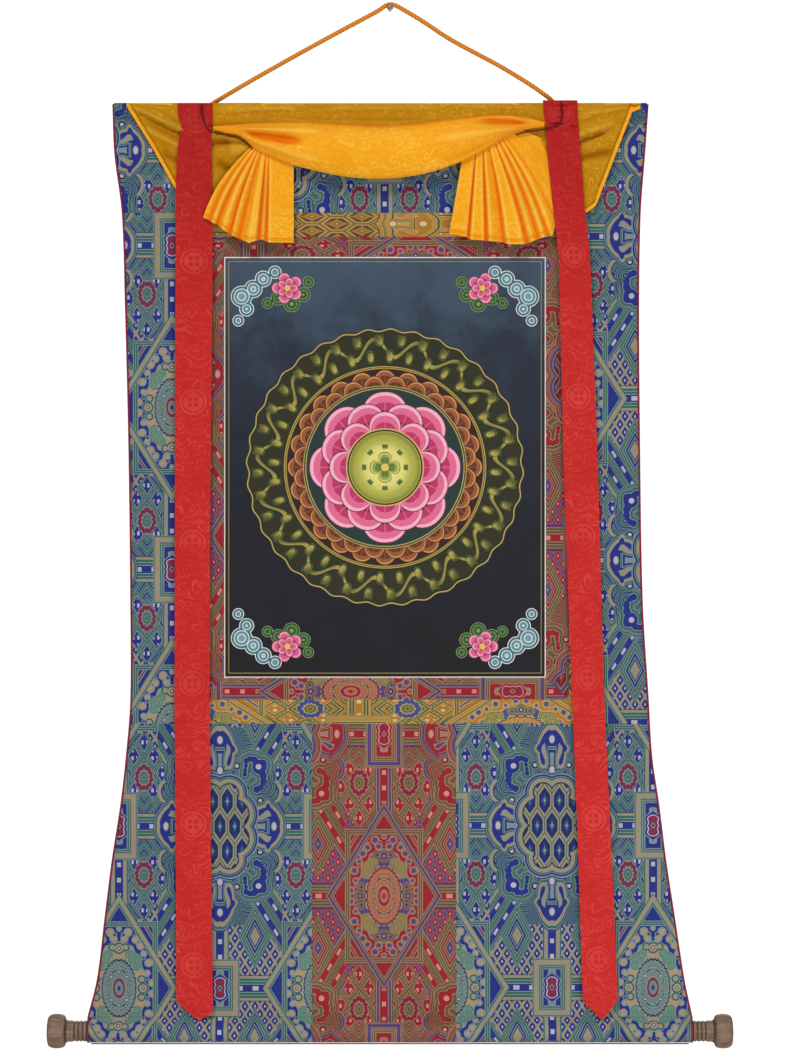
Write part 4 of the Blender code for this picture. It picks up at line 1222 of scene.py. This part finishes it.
# A cloud head's rim, from its crown round a side tip to its mouth: degrees, reach.
CLOUD_HEAD = (
    (0, 9), (48, 12), (63, 13.8), (79, 16.4), (88, 18.4), (92, 21.5), (96.5, 23.4),
    (101, 22), (105, 19.2), (117, 19.8), (127, 20), (136, 18.8), (142, 16.4),
    (150, 14.6), (165, 13.4), (180, 13),
)


def chart(f, yarns):
    """The brocade's figure: one quarter of the repeat, mirrored both ways.

    p runs across from the eight-lobed medallion and q down from it, in units of
    CHART; c and e run back from the diamond medallion at the far corner.
    """
    def bands(at, high, words):
        """Bands of yarn by a distance, each from where it starts, such as "0 band, 4.4 light"."""
        stops = [word.split() for word in words.split(", ")]
        return f.rings(at, high, [(float(start), yarns[yarn]) for start, yarn in stops])

    def lay(at, high, words, share):
        f.lay(bands(at, high, words), share)

    ground, dot = yarns["ground"], yarns["dot"]
    across, up, _ = f.split(f.flat())
    p = (across / CHART).fold(HALF_WIDE)
    q = (up / CHART).fold(HALF_HIGH)
    c, e = HALF_WIDE - p, HALF_HIGH - q
    spot = f.spot(p, q)

    # The shapes that the other lines run round: medallion, cloud heads and winged cloud.
    lobed = blobs(f, spot, ((14.5, 12, 18.5), (9, 33, 13.6), (0, 14, 26)), 0.6)
    below = q.over(p)
    u = below.fma(q.fma(1 / 1.52, -2.7) - p, p)
    v = below.fma(p / 0.665 - q, q)
    head = outline(f, u - 50.5, v, CLOUD_HEAD)
    wing = blobs(f, spot, (
        (39.5, 59.5, 7.2), (43.2, 63.2, 3.4), (34.5, 66.6, 3.2), (30, 67.4, 2.8),
        (26.2, 65.6, 2.8), (26, 60.6, 2), (25.2, 56.2, 2), (24.8, 52, 2.4), (43.2, 51, 3.8),
        (43.6, 45, 3.4),
        (44.6, 39.2, 4.4), (40.4, 38.6, 3), (36.4, 36.8, 3.4)), 2.4)

    # A diagonal lattice of small diamonds, each with a dot.
    lift = q * 0.125
    lattice = p.fma(0.2, lift).fold().least((p * 0.2 - lift).fold())
    f.colour = bands(lattice, 1, "0 band, 0.2 light, 0.3 ground, 0.78 dot")

    # Lines that run round the shapes.
    echo = wing.least(head).least(lobed)
    lay(echo.fold(2.3), 2.3, "0 green, 1 light, 1.5 ground",
        q.fma(0.5, p).under(94) * p.under(64) * q.under(99))

    # Slanting stripes with strings of dots.
    slant = p.fma(-1.6, q)
    area = slant.within(2, 26) * q.over(62) * p.under(62.5)
    lay(slant, 28, "-24 band, -21 light, -20 green, -17.2 light, -16.2 green, -13 light, "
        "-12 ground, -1.6 light, -0.6 green, 2.6 light, 3.6 green, 7 light, 8 green, 10 light, "
        "11 ground, 22 light, 23 green, 26 light", area)
    beads = p.fma(0.09, q * 0.075).fold().over(0.62)
    f.lay(dot, slant.within(-6.8, 2.6).most(slant.within(16.5, 2.6)) * beads * area)

    # A nested lozenge.
    nest = abs(p - 35) / 17 + abs(q - 110) / 33
    lay(nest, 1, "0 light, 0.06 band, 0.24 light, 0.3 dark, 0.36 light, "
        "0.42 ground, 0.54 light, 0.6 green, 0.7 light, 0.76 green, 0.86 light, 0.91 green, "
        "0.97 light",
        nest.under(1))

    # The field round the flower: zigzag lines and dotted diamonds.
    side, down = abs(p - 76), q - 48.5
    zigzag = abs(down).fma(0.16, side * 0.22).fold()
    inside = slant.under(-24) * q.under(93) * p.over(56)
    lay(zigzag, 1, "0 ground, 0.24 light, 0.38 green, 0.84 light, 0.96 ground", inside)
    stones = None
    for x, y in ((10, 22), (0, 36), (18, 5), (9.5, -13.5)):
        stone = abs(side - x).fma(0.19, abs(down - y) * 0.115)
        stones = stone if stones is None else stones.least(stone)
    beads = (p * 0.4).fold().least((q * 0.25).fold()).over(0.5) * stones.under(0.8)
    lay(stones, 1.6, "0 ground, 1 light, 1.22 green, 1.5 light", stones.under(1.6) * inside)
    f.lay(dot, beads * inside)
    round_it = f.away(side / 9, down / 13)
    turn = (side * 1.4).sum("ARCTAN2", down, side * 1.4)
    petals = (turn * 12).sine().fma(0.07, round_it)
    lay(petals, 1.1, "0 green, 0.18 light, 0.26 green, 0.46 light, 0.6 flower, 0.78 dark, "
        "0.82 flower, 1 light", petals.under(1.08))

    # The winged cloud, a crescent beside it and dots in the gaps.
    lay(wing, 7, "-1 ground, 0 light, 0.8 green, 2.9 light, 3.6 ground, 4.2 light, "
        "4.9 green, 6.4 light", wing.under(6.9) * slant.over(-30))
    f.lay(dot, blobs(f, spot, ((38.5, 59.6, 2.8),)).under(0))
    crescent = blobs(f, spot, ((47.4, 34.6, 10.6),))
    lay(crescent, 4.4, "0 dark, 1 light, 1.6 band, 3.8 light",
        crescent.within(2.2, 2.2) * p.over(53) * q.within(34.6, 10.5))
    dots = blobs(f, spot, ((0, 54.4, 2.2), (25.4, 38, 2), (17, 60.5, 1.9), (40.2, 25.6, 1.9),
                           (33.6, 0, 2.6)), 0.1)
    lay(dots, 3.4, "-1 dot, 0 dark, 1.9 light, 2.6 green", dots.under(3.2))

    # Bands between the medallions and the boxes, with beads along them.
    beside = p.least(c)
    beads = (q * 0.13).fold().over(0.7) * beside.under(2)
    upright = bands(beside, 9.4, "0 ground, 4 light, 4.8 band, 7 light, 7.8 green, 9 light")
    beaded = f.paint(upright, dot, beads)
    f.lay(beaded, beside.under(9.3) * q.within(98, 36).most(c.under(9.3) * q.within(82, 52)))
    above = q.least(e)
    beads = p.fma(0.125, 0.55).fold().over(0.62) * above.under(2.2)
    level = bands(above, 13, "0 ground, 3.6 light, 4.5 green, 6.6 light, 7.5 green, "
        "9.6 light, 10.5 band, 12.3 dark")
    f.lay(f.paint(level, dot, beads), above.under(13) * p.within(52, 34))

    # Cloud heads with curled ends, beside and below the medallion.
    lay(head, 7.4, "-1 ground, 0 light, 0.5 band, 2.9 light, 3.5 green, 5.2 light, 5.9 ground, "
        "6.9 light", head.under(7) * p.under(70))
    place_in = f.spot(u, abs(v))
    horn = blobs(f, place_in, ((47.2, 12.6, 2.9), (44.4, 10.7, 2.5), (41.6, 8.9, 2),
                               (38.9, 8.2, 1.5), (36.6, 9.6, 1.2), (50.4, 11, 0.7)), 1.4)
    between = horn.least(49.4 - u)
    lay(between, 4.6, "0 light, 0.6 green, 1.6 light, 2.3 ground, 4.2 light",
        between.over(0) * abs(v).under(7.6) * u.over(33) * head.under(5))
    lay(horn, 0.8, "-3.4 band, -0.7 light, 0.2 light", horn.under(0.4) * head.under(3))
    bead = ((u - 54).power(2).fma(0.14, (v * v) * 0.055)).least(
        (u - 34).power(2).fma(0.16, (v * v) * 0.055))
    lay(bead, 1.5, "0 dot, 0.9 dark, 1.3 light", bead.under(1.4))

    # The diamond and rectangle that cross, and the ringed medallion in them.
    slope = c.fma(49 / 57.5, e.fma(49 / 93, -49))
    frame_line = (c - 38.6).most(e - 66.5)
    f.lay(ground, slope.least(frame_line).under(0))
    lay(slope, 16, "0 ground, 4.4 light, 5.4 flower, 7 light, 8 ground, "
        "10.4 scroll, 11.4 ground",
        slope.over(2) * frame_line.under(-2))
    from_middle = f.spot(c, e)
    oval = f.away(c, e / 1.68)
    turn = c.sum("ARCTAN2", e / 1.68, c)
    lumps = blobs(f, from_middle, (
        (9, 56, 3.8), (0, 59.4, 2.2), (16.6, 48.6, 3.4), (21.4, 42.6, 3.6), (24.6, 34.4, 2.8),
        (29.6, 25.4, 3.6), (28.4, 15.4, 2.6), (33, 5.4, 3.4), (5.4, 49.6, 3.4)), 3.2)
    cloud = lumps.least((turn * 16).sine().fma(1, oval) - 27)
    lay(cloud, 1.2, "-1.6 cloud, -0.2 light", cloud.under(0.7) * slope.under(-4))
    holes = blobs(f, from_middle, ((4.2, 53.6, 1.9), (15.6, 52.6, 1.2), (24.4, 30.4, 1.8),
                                   (28, 10.2, 1.8), (19.2, 46.4, 1.2)), 0.1)
    lay(holes, 0.6, "-1 ground, 0 light", holes.under(0.5) * slope.under(-4))
    scrolls = blobs(f, from_middle, ((15.6, 28.6, 6), (17.4, 22.4, 4.6), (10.4, 34, 4)), 1)
    lay(scrolls, 1, "-6 light, -5 scroll, -3.9 light, -3.1 scroll, -2 light, -1.2 scroll, "
        "0.2 light", scrolls.under(0.9))
    fans = blobs(f, from_middle, ((0, 40, 5.2), (6.6, 41, 3.6), (24, 0, 5), (22.6, 9, 3.6)), 0.8)
    lay(fans, 1.2, "-5.4 dot, -4 dark, -3.2 cloud, -1.6 light, -1 green, 0.5 light",
        fans.under(1.1))
    rim = (turn * 14).sine().fma(0.8, oval)
    scallops = (turn * 34).sine().fma(0.5, oval)
    lay(scallops, 19, "0 eye, 12.4 dark, 13.2 light, 14 eye, 15.4 light, 16.2 dark, "
        "17.4 light", rim.under(18.4))
    stars = blobs(f, from_middle, ((0, 16.6, 2.6), (7.6, 11.6, 2.8), (9.6, 3, 2.2)), 0.4)
    lay(oval, 13.2, "0 ground, 1.4 eye, 3.4 light, 4 flower, 6 light, 6.7 eye, 9.8 light, "
        "10.6 dark, 11.6 light, 12.4 eye", oval.under(13))
    lay(stars, 0.9, "-2.8 dot, -1.6 dark, -0.9 light, -0.3 scroll, 0.4 light", stars.under(0.8))
    lay(frame_line, 1, "-5 light, -4.1 green, -2.7 light, -1.9 green, -0.5 light",
        frame_line.within(-2.3, 2.7))
    lay(slope, 1.6, "-6 light, -5.2 green, -4 light, -3.2 band, -0.6 light, 0.3 green",
        slope.within(-2.4, 3.6))

    # Framed boxes with a tall flower.
    box_line = (p - 19).most(e - 28.4).least((c - 18).most(q - 33))
    lay(box_line, 0.8, "-14 ground, -10.4 light, -9.4 green, -8.2 light, -7.2 green, "
        "-6.2 light, -5.2 band, -1.6 light, -0.6 green, 0.2 light",
        box_line.under(0.8))
    tall = (above * 0.62).sine().fma(0.9, f.away(beside, above / 1.9))
    lay(tall, 9.4, "0 ground, 1.5 light, 2.4 flower, 5.2 dot, 6.2 ground, 8 light",
        tall.under(8.9) * box_line.under(-7))

    # The eight-lobed medallion with its honeycomb of stars.
    cells = None
    for shift_x, shift_y in ((0, 0), (7.35, 25)):
        x, y = (p + shift_x).fold(7.35), (q + shift_y).fold(25)
        cell = x.fma(1 / 7.35, 0).most(x.fma(0.082, y * 0.0555))
        star = (x / 5.4).power(0.75) + (y / 13).power(0.75)
        cells = (cell, star) if cells is None else (cells[0].least(cell), cells[1].least(star))
    comb = bands(cells[0], 1, "0 dark, 0.74 light, 0.82 band, 0.94 green")
    inner = bands(cells[1], 1, "0 dot, 0.22 scroll, 0.55 ground")
    comb = f.paint(comb, inner, cells[1].under(1))
    f.lay(comb, lobed.under(-3))
    lay(lobed, 5.6, "-4.6 dark, -3.4 light, -2.6 band, 0.2 light, 0.8 green, 2 light, "
        "2.6 ground, 4.4 light", lobed.within(0.5, 5.1))
    return across, up


def brocade(name, yarns):
    """Woven figured brocade: satin figure, ribbed ground, a little uneven."""
    f = Finish(name)
    across, up = chart(f, yarns)
    flat = f.flat()
    thread = f.noise(flat, 900, 1)
    patch = f.noise(flat, 14, 2)
    shade = thread.fma(0.5, patch * 0.3) + 0.4
    colour = f.shaded(f.colour, shade)
    brightness = f.node("RGBToBW", None, {0: colour})
    rough = brightness.fma(-0.45, 0.66)
    ribs = up.wave(0.0009).fma(0.5, across.wave(0.0007) * 0.3)
    return f.end(colour, rough, ribs + thread, 0.00012, Specular_IOR_Level=0.3, Sheen_Weight=0.08,
                 Sheen_Roughness=0.4)


def brocade_reverse(name, yarns):
    """The wrong side: bundles of unused weft that run across in broken stripes."""
    f = Finish(name)
    flat = f.flat()
    across, up, _ = f.split(flat)
    stripe = f.noise(f.stretched(flat, (26, 210, 1)), 1, 2)
    floats = f.ramp(stripe, (
        (0, yarns["dark"]), (0.36, yarns["green"]), (0.46, yarns["band"]), (0.53, yarns["ground"]),
        (0.6, yarns["light"]), (0.68, yarns["flower"])), "EASE")
    thread = f.noise(f.stretched(flat, (90, 2200, 1)), 1, 2)
    shade = thread.fma(0.7, 0.5)
    colour = f.shaded(floats, shade)
    warp = across.wave(0.0011) * 0.3
    return f.end(colour, thread.fma(-0.2, 0.75), thread + warp, 0.00015, Specular_IOR_Level=0.25)


def bare_canvas():
    """The unpainted back of the canvas: plain weave, with a little size soaked through."""
    f = Finish("bare canvas")
    flat = f.flat()
    across, up, _ = f.split(flat)
    soak = f.noise(flat, 18, 4, 0.6)
    colour = f.paint(tint(206, 194, 168), tint(168, 150, 122), soak.fma(1.4, -0.3))
    weave = across.wave(0.0012) + up.wave(0.0012)
    shade = weave.fma(0.05, 0.92)
    colour = f.shaded(colour, shade)
    return f.end(colour, 0.85, weave * 0.4 + soak, 0.00015, Specular_IOR_Level=0.2)


def petals(f, radius, turn, count, offset, inner, outer, stops):
    """A ring of pointed petals painted over what is there, each with its outline."""
    across = (turn * (count / math.pi) + offset).fold()
    tip = (1 - across.power(2.2)).most(0).power(0.62).fma(outer - inner, inner)
    depth = tip - radius
    paint = f.rings(depth, outer - inner, stops)
    vein = (across * 3).fold().under(0.12) * depth.over((outer - inner) * 0.3)
    paint = f.paint(paint, stops[2][1], vein * 0.6)
    f.lay(paint, depth.over(-0.4))


def painted_canvas():
    """A lotus rosette in a scrolled ring on a night ground, in matt paint on canvas."""
    f = Finish("painted canvas")
    across, up, _ = f.split(f.flat())
    x, y = across / MM, up / MM
    cloudy = f.noise(f.flat(), 16, 4, 0.6)
    f.colour = f.ramp(y.fma(0.0015, 0.44) + (cloudy - 0.5) * 0.42, (
        (0, tint(12, 9, 16)), (0.35, tint(18, 20, 32)), (0.6, tint(30, 38, 54)),
        (0.8, tint(58, 76, 94)), (1, tint(88, 108, 126))), "EASE")

    # Cloud scrolls and blossoms, alike in the four corners.
    side, rise = abs(x), abs(y)
    spot = f.spot(side, rise)
    cloud = blobs(f, spot, ((172, 205, 12), (158, 214, 10), (146, 226, 9),
                            (166, 190, 8), (132, 234, 7), (176, 176, 6)))
    wisp = f.rings(cloud, 2, (
        (-12, tint(120, 150, 165)), (-8, tint(214, 222, 220)), (-6.6, tint(92, 140, 150)),
        (-3.6, tint(206, 216, 214)), (-2.4, tint(60, 104, 118)), (0, tint(222, 226, 222))))
    f.lay(wisp, cloud.under(1))
    leaf = blobs(f, spot, ((112, 196, 9), (128, 203, 8), (98, 207, 8), (92, 222, 6),
                           (141, 197, 6)))
    f.lay(f.rings(leaf, 1, (
        (-9, tint(120, 150, 84)), (-6.5, tint(36, 74, 44)), (-4, tint(84, 124, 62)),
        (-1.6, tint(28, 58, 36)), (0, tint(132, 156, 92)))), leaf.under(0.8))
    bloom_x, bloom_y = side - 117, rise - 215
    bloom = f.away(bloom_x, bloom_y)
    bloom_turn = bloom_x.sum("ARCTAN2", bloom_y, bloom_x)
    pinks = ((-0.4, tint(120, 26, 60)), (0.6, tint(236, 150, 176)), (3, tint(216, 92, 132)),
             (7, tint(176, 44, 92)))
    petals(f, bloom, bloom_turn, 5, 0, 7, 19, pinks)
    petals(f, bloom, bloom_turn, 5, 1, 4, 13, pinks)
    f.lay(tint(222, 190, 80), bloom.under(3.6))

    # The great ring, its scrolls, and the rosette inside it.
    radius = f.away(x, y)
    turn = x.sum("ARCTAN2", y, x)
    edge = (turn * 36).sine().fma(1.6, radius)
    f.lay(tint(40, 40, 18), edge.under(166))
    band = (radius - 143) / 19
    scroll = (turn * 18).sine().fma(0.55, band)
    curl = (turn * 36).sine() * (band * 3).sine()
    vine = abs(scroll).under(0.13).most(curl.over(0.62))
    shine = (turn * 36 + band * 4).sine().fma(0.5, 0.5)
    gold = f.paint(tint(92, 88, 36), tint(176, 158, 78), shine)
    f.lay(gold, vine * edge.under(163))
    f.lay(tint(74, 92, 34), curl.within(0.4, 0.1) * edge.under(161))
    f.lay(f.rings(radius, 166, (
        (118, tint(166, 140, 60)), (119.4, tint(60, 40, 18)), (120.2, tint(186, 160, 84)),
        (121.2, tint(40, 40, 18)))), radius.under(121.6))
    f.lay(tint(188, 164, 92), edge.within(164.6, 0.7))
    browns = ((-0.4, tint(64, 26, 14)), (0.5, tint(206, 142, 84)), (2.4, tint(150, 84, 44)),
              (7, tint(96, 48, 26)))
    f.lay(tint(46, 22, 16), radius.under(118))
    petals(f, radius, turn, 24, 0, 101, 117, browns)
    petals(f, radius, turn, 24, 1, 94, 110, browns)
    f.lay(f.rings(radius, 98, (
        (90, tint(28, 52, 50)), (94.4, tint(196, 170, 92)), (95.4, tint(52, 66, 40)),
        (97.2, tint(196, 170, 92)))), radius.under(98))
    roses = ((-0.4, tint(112, 18, 52)), (0.8, tint(244, 176, 196)), (5, tint(224, 104, 142)),
             (13, tint(190, 48, 98)), (22, tint(140, 26, 66)))
    petals(f, radius, turn, 8, 0, 66, 91, roses)
    petals(f, radius, turn, 8, 1, 56, 80, roses)
    petals(f, radius, turn, 8, 0, 46, 67, roses)
    glow = f.ramp(radius / 44, (
        (0, tint(240, 232, 170)), (0.45, tint(226, 214, 120)), (0.8, tint(170, 168, 66)),
        (1, tint(112, 122, 48))), "EASE")
    f.lay(glow, radius.under(44))
    f.lay(f.rings(radius, 47, (
        (42, tint(180, 150, 66)), (43.4, tint(34, 40, 24)), (45.2, tint(206, 178, 96)))),
        radius.within(44.4, 2.4))
    seeds = (turn * (8 / math.pi)).fold().under(0.34) * radius.within(25, 2.6)
    f.lay(tint(84, 110, 52), seeds)
    greens = ((-0.4, tint(70, 84, 30)), (0.5, tint(206, 206, 110)), (2.6, tint(150, 160, 70)),
              (6, tint(96, 118, 52)))
    petals(f, radius, turn, 4, 0, 8, 18, greens)
    f.lay(tint(226, 196, 92), radius.under(4.6))

    # A gold line inside the edge, and the thin pale edge that the paint leaves.
    border = (side - 192.9).most(rise - 252.3)
    f.lay(tint(150, 126, 62), border.within(-5.4, 0.5))
    f.lay(tint(222, 218, 206), border.over(-1.3))
    weave = x.wave(0.8) + y.wave(0.8)
    stroke = f.noise(f.flat(), 260, 3, 0.6)
    colour = f.shaded(f.colour, stroke.fma(0.34, 0.83))
    return f.end(colour, stroke.fma(0.2, 0.5), weave * 0.3 + stroke, 0.00012,
                 Specular_IOR_Level=0.3)


def roundel(f, x, y, size):
    """A plain fret roundel and the small curls round it: 1 on the figure."""
    away = f.away(x, y)
    fret = (x * (9 / size)).sine() * (y * (9 / size)).sine()
    cross = abs(x).least(abs(y)).under(size * 0.07)
    ring = away.within(size * 0.93, size * 0.07).most(away.within(size * 0.62, size * 0.06))
    return ring.most(fret.over(0.1).most(cross) * away.under(size * 0.84))


def curls(f, x, y, step):
    """Curled clouds with leaves between them, no two quite alike: 1 on the figure."""
    wander = f.spot(x, y)
    u = x / step + f.noise(wander, 0.9 / step, 1) * 1.3
    v = y / step + f.noise(wander, 1.1 / step, 1) * 1.1
    sway = (v * math.pi).sine().fma(0.35, u)
    a, b = (sway.fold() - 0.5), (v.fold() - 0.5)
    away = f.away(a, b)
    turn = a.sum("ARCTAN2", b, a)
    spiral = (away * 26 - turn).sine().over(0.55) * away.under(0.3)
    tail = away.within(0.4, 0.025) * b.over(0.1)
    leaf = f.away(abs(a).fma(1, -0.42), abs(b).fma(2.2, -0.7))
    return spiral.most(tail).most(leaf.within(0.14, 0.035))


def damask(name, deep, bright, figure_and_highlight_tint, shadow, rows, step, size):
    """Satin damask: one yarn, its figure shown by sheen more than by colour.

    Rows are the roundels' first height, the gap between them, the middle that they are
    mirrored about and how far they lie from it.
    """
    f = Finish(name)
    deep, bright, figure_and_highlight_tint, shadow = (tint(*hue) for hue in (deep, bright, figure_and_highlight_tint, shadow))
    flat = f.flat()
    across, up, _ = f.split(flat)
    x, y = across / MM, up / MM
    first, gap, middle, shift = rows
    turned_y = (y - first - gap / 2).fold(gap / 2)
    near_x, near_y = shift - abs(x - middle), gap / 2 - turned_y
    circle = roundel(f, near_x, near_y, size)
    away = f.away(near_x, near_y)
    figure = (curls(f, x, y, step) * away.over(size * 1.15)).most(circle)
    patch = f.noise(flat, 22, 2)
    colour = f.paint(deep, bright, patch.fma(0.9, 0.05))
    colour = f.paint(colour, figure_and_highlight_tint, figure * patch.fma(1.3, -0.28))
    # The second map paints shade into folds with the shadow colour, and a highlight onto ridges
    # with the figure's colour.
    painted_fold_shade, painted_ridge_highlight, _ = f.split(f.flat("painted shade and highlight"))
    colour = f.paint(f.paint(colour, figure_and_highlight_tint, painted_ridge_highlight * 0.55), shadow, painted_fold_shade)
    slub = f.noise(f.stretched(flat, (160, 1500, 1)), 1, 1)
    rough = figure.fma(-0.08, 0.36) + slub * 0.1
    ribs = up.wave(0.0006) * 0.4
    return f.end(colour, rough, slub + ribs, 0.00005, Specular_IOR_Level=0.55,
                 Specular_Tint=(*bright, 1))


def thread(name, colour):
    """Sewing thread, a little fuzzy."""
    f = Finish(name)
    fuzz = f.noise(f.place(), 2600, 2)
    shade = f.shaded((*colour,), fuzz.fma(0.8, 0.6))
    return f.end(shade, 0.6, fuzz, 0.00005, Specular_IOR_Level=0.3)


def cord_thread(name, dark, bright, strands, pitch, rough):
    """Twisted thread: fine fibres that run with the strands, darker between them as painted shade.
    """
    f = Finish(name)
    along, round_it, _ = f.split(f.flat("cord"))
    twist = round_it.fma(strands, along * (-strands / (pitch * MM)))
    strand = abs((twist * math.pi).sum("COSINE", twist * math.pi))
    fibre = (twist.fma(2 * math.pi * 7, along * 2600)).sine().fma(0.5, 0.5)
    fuzz = f.noise(f.place(), 1400, 2)
    # Painted shade in the grooves between the strands.
    shade = strand.fma(0.55, fibre * 0.2) + fuzz * 0.35
    colour = f.paint(dark, bright, shade)
    return f.end(colour, rough, fibre * 0.5 + fuzz, 0.00012, Specular_IOR_Level=0.2,
                 Sheen_Weight=0.04, Sheen_Roughness=0.5)


def turned_wood():
    """Dry turned wood with dark lines in its grooves."""
    f = Finish("turned wood")
    place_in = f.place()
    x, y, z = f.split(place_in)
    end = abs(x) / MM - KNOB_START
    grain_at = f.stretched(place_in, (26, 320, 320))
    grain = f.noise(grain_at, 1, 4, 0.65)
    streak = f.noise(grain_at, 5, 2)
    colour = f.ramp(grain.fma(0.8, streak * 0.25), (
        (0, tint(66, 48, 38)), (0.42, tint(104, 80, 64)), (0.62, tint(138, 112, 92)),
        (1, tint(176, 150, 126))), "LINEAR")
    groove = end.within(24.6, 1.3)
    for centre in GROOVES:
        groove = groove.most(end.within(centre, 0.75))
    colour = f.paint(colour, tint(52, 36, 28), groove * 0.75)
    return f.end(colour, grain.fma(0.25, 0.42), grain * 0.6 + streak * 0.5, 0.0003,
                 Specular_IOR_Level=0.35)


def nail_steel():
    """Plain steel, dulled and a little rusted."""
    f = Finish("nail steel")
    place_in = f.place()
    rust = f.noise(place_in, 900, 3, 0.6)
    spots = rust.over(0.58)
    colour = f.paint(tint(150, 146, 140), tint(112, 72, 48), spots * 0.8)
    f.shader.inputs["Metallic"].default_value = 0.85
    return f.end(colour, rust.fma(0.4, 0.25), rust, 0.00006)


def pale_floor():
    f = Finish("pale floor")
    return f.end((0.86, 0.86, 0.86, 1), 0.9)


FINISHES = {
    "painted_canvas": painted_canvas(),
    "painted_canvas_reverse": bare_canvas(),
    "yellow_silk": damask("yellow silk", (240, 152, 18), (250, 176, 38), (255, 208, 84),
                          (226, 104, 6), (-212, 260, 8.7, 45.3), 21, 15.6),
    # A darker copy of the yellow silk, for painted shade on the cover's flat layer.
    "yellow_silk_shaded": damask("yellow silk shaded", (178, 118, 14), (194, 136, 22), (218, 168, 50),
                           (150, 90, 8), (-186, 260, 0, 150), 21, 13),
    "red_silk": damask("red silk", (184, 38, 38), (200, 50, 46), (218, 84, 74),
                       (140, 16, 20), (-304.8, 168.6, 0, 0), 24, 15.5),
    "yellow_thread": thread("yellow thread", tint(206, 130, 20)),
    "red_thread": thread("red thread", tint(176, 34, 34)),
    "dark_thread": thread("dark thread", tint(60, 62, 80)),
    "piping": cord_thread("piping thread", tint(84, 8, 30), tint(168, 30, 56), 2, 4.2, 0.6),
    "tie_cord": cord_thread("tie thread", tint(60, 6, 14), tint(112, 14, 26), 2, 3.4, 0.8),
    "orange_cord": cord_thread("orange cord", tint(176, 84, 10), tint(244, 150, 36), 3, 13, 0.75),
    "turned_wood": turned_wood(),
    "nail_steel": nail_steel(),
}
for column, hue in enumerate(("blue", "red", "yellow"), 1):
    hue_yarns = {row[0]: tint(*row[column]) for row in YARNS}
    FINISHES[hue + "_brocade"] = brocade(hue + " brocade", hue_yarns)
    FINISHES[hue + "_brocade_reverse"] = brocade_reverse(hue + " reverse", hue_yarns)


def dress():
    """Give every piece and every carried-over node its finish, cloth on both its sides."""
    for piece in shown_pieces():
        slot = piece.get("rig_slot") or "turned_wood"
        if not piece.data.materials:
            piece.data.materials.append(None)
        if piece.material_slots[0].material in FINISHES.values():
            continue
        for side in piece.material_slots:
            behind = side.material is not None and side.material.name.startswith("reverse")
            wrong_side = slot + "_reverse"
            side.material = FINISHES[wrong_side if behind and wrong_side in FINISHES else slot]


# ---------------------------------------------------------------- floor, light, camera

def studio():
    """A pale floor under the hanging, white surroundings, soft lamps and the camera."""
    middle, away, seen_height = Vector((0, 0, -0.62)), 3.5, 1.271
    bpy.ops.object.select_all(action="DESELECT")
    bpy.ops.mesh.primitive_plane_add(size=9, location=(0, 0, -2.1))
    floor = bpy.context.view_layer.objects.active
    floor.name = "floor"
    floor.data.materials.append(pale_floor())
    floor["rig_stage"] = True
    world = bpy.data.worlds.new("studio")
    world.use_nodes = True
    tree = world.node_tree
    soft = tree.nodes["Background"]
    soft.inputs["Color"].default_value = (0.95, 0.97, 1, 1)
    soft.inputs["Strength"].default_value = 0.24
    backdrop = tree.nodes.new("ShaderNodeBackground")
    backdrop.inputs["Color"].default_value = (1, 1, 1, 1)
    backdrop.inputs["Strength"].default_value = 1.1
    seen = tree.nodes.new("ShaderNodeLightPath")
    either = tree.nodes.new("ShaderNodeMixShader")
    tree.links.new(seen.outputs["Is Camera Ray"], either.inputs[0])
    tree.links.new(soft.outputs[0], either.inputs[1])
    tree.links.new(backdrop.outputs[0], either.inputs[2])
    tree.links.new(either.outputs[0], tree.nodes["World Output"].inputs["Surface"])
    bpy.context.scene.world = world
    bpy.context.scene.view_settings.view_transform = "Standard"
    lamps = (
        # name, place, width, power
        ("key", (-1.8, -4.6, 5), 2, 300),
        ("fill", (1, -2.5, -1.6), 1.5, 36),
        ("back", (0.6, 2.6, 0.6), 2.4, 30),
    )
    for name, spot, size, power in lamps:
        lamp = bpy.data.lights.new(name, "AREA")
        lamp.size = size
        lamp.energy = power
        holder = bpy.data.objects.new(name, lamp)
        holder.location = spot
        aim = middle - Vector(spot)
        holder.rotation_euler = aim.to_track_quat("-Z", "Y").to_euler()
        holder.visible_camera = False
        bpy.context.scene.collection.objects.link(holder)
    camera = bpy.data.cameras.new("camera")
    camera.lens = camera.sensor_width * away / seen_height
    holder = bpy.data.objects.new("camera", camera)
    holder.location = (0.0084, -away - WALL_TO_CLOTH * MM, -0.626)
    holder.rotation_euler = (math.pi / 2, 0, 0)
    bpy.context.scene.collection.objects.link(holder)
    bpy.context.scene.camera = holder


studio()
free_cords()
mount()
pipings()
cover()
streamer("streamer_left", STREAMER_LEFT, STREAMER_LEFT_END, PINCHES_LEFT)
streamer("streamer_right", STREAMER_RIGHT, STREAMER_RIGHT_END, PINCHES_RIGHT)
stitching()
wood_and_nail()
dress()
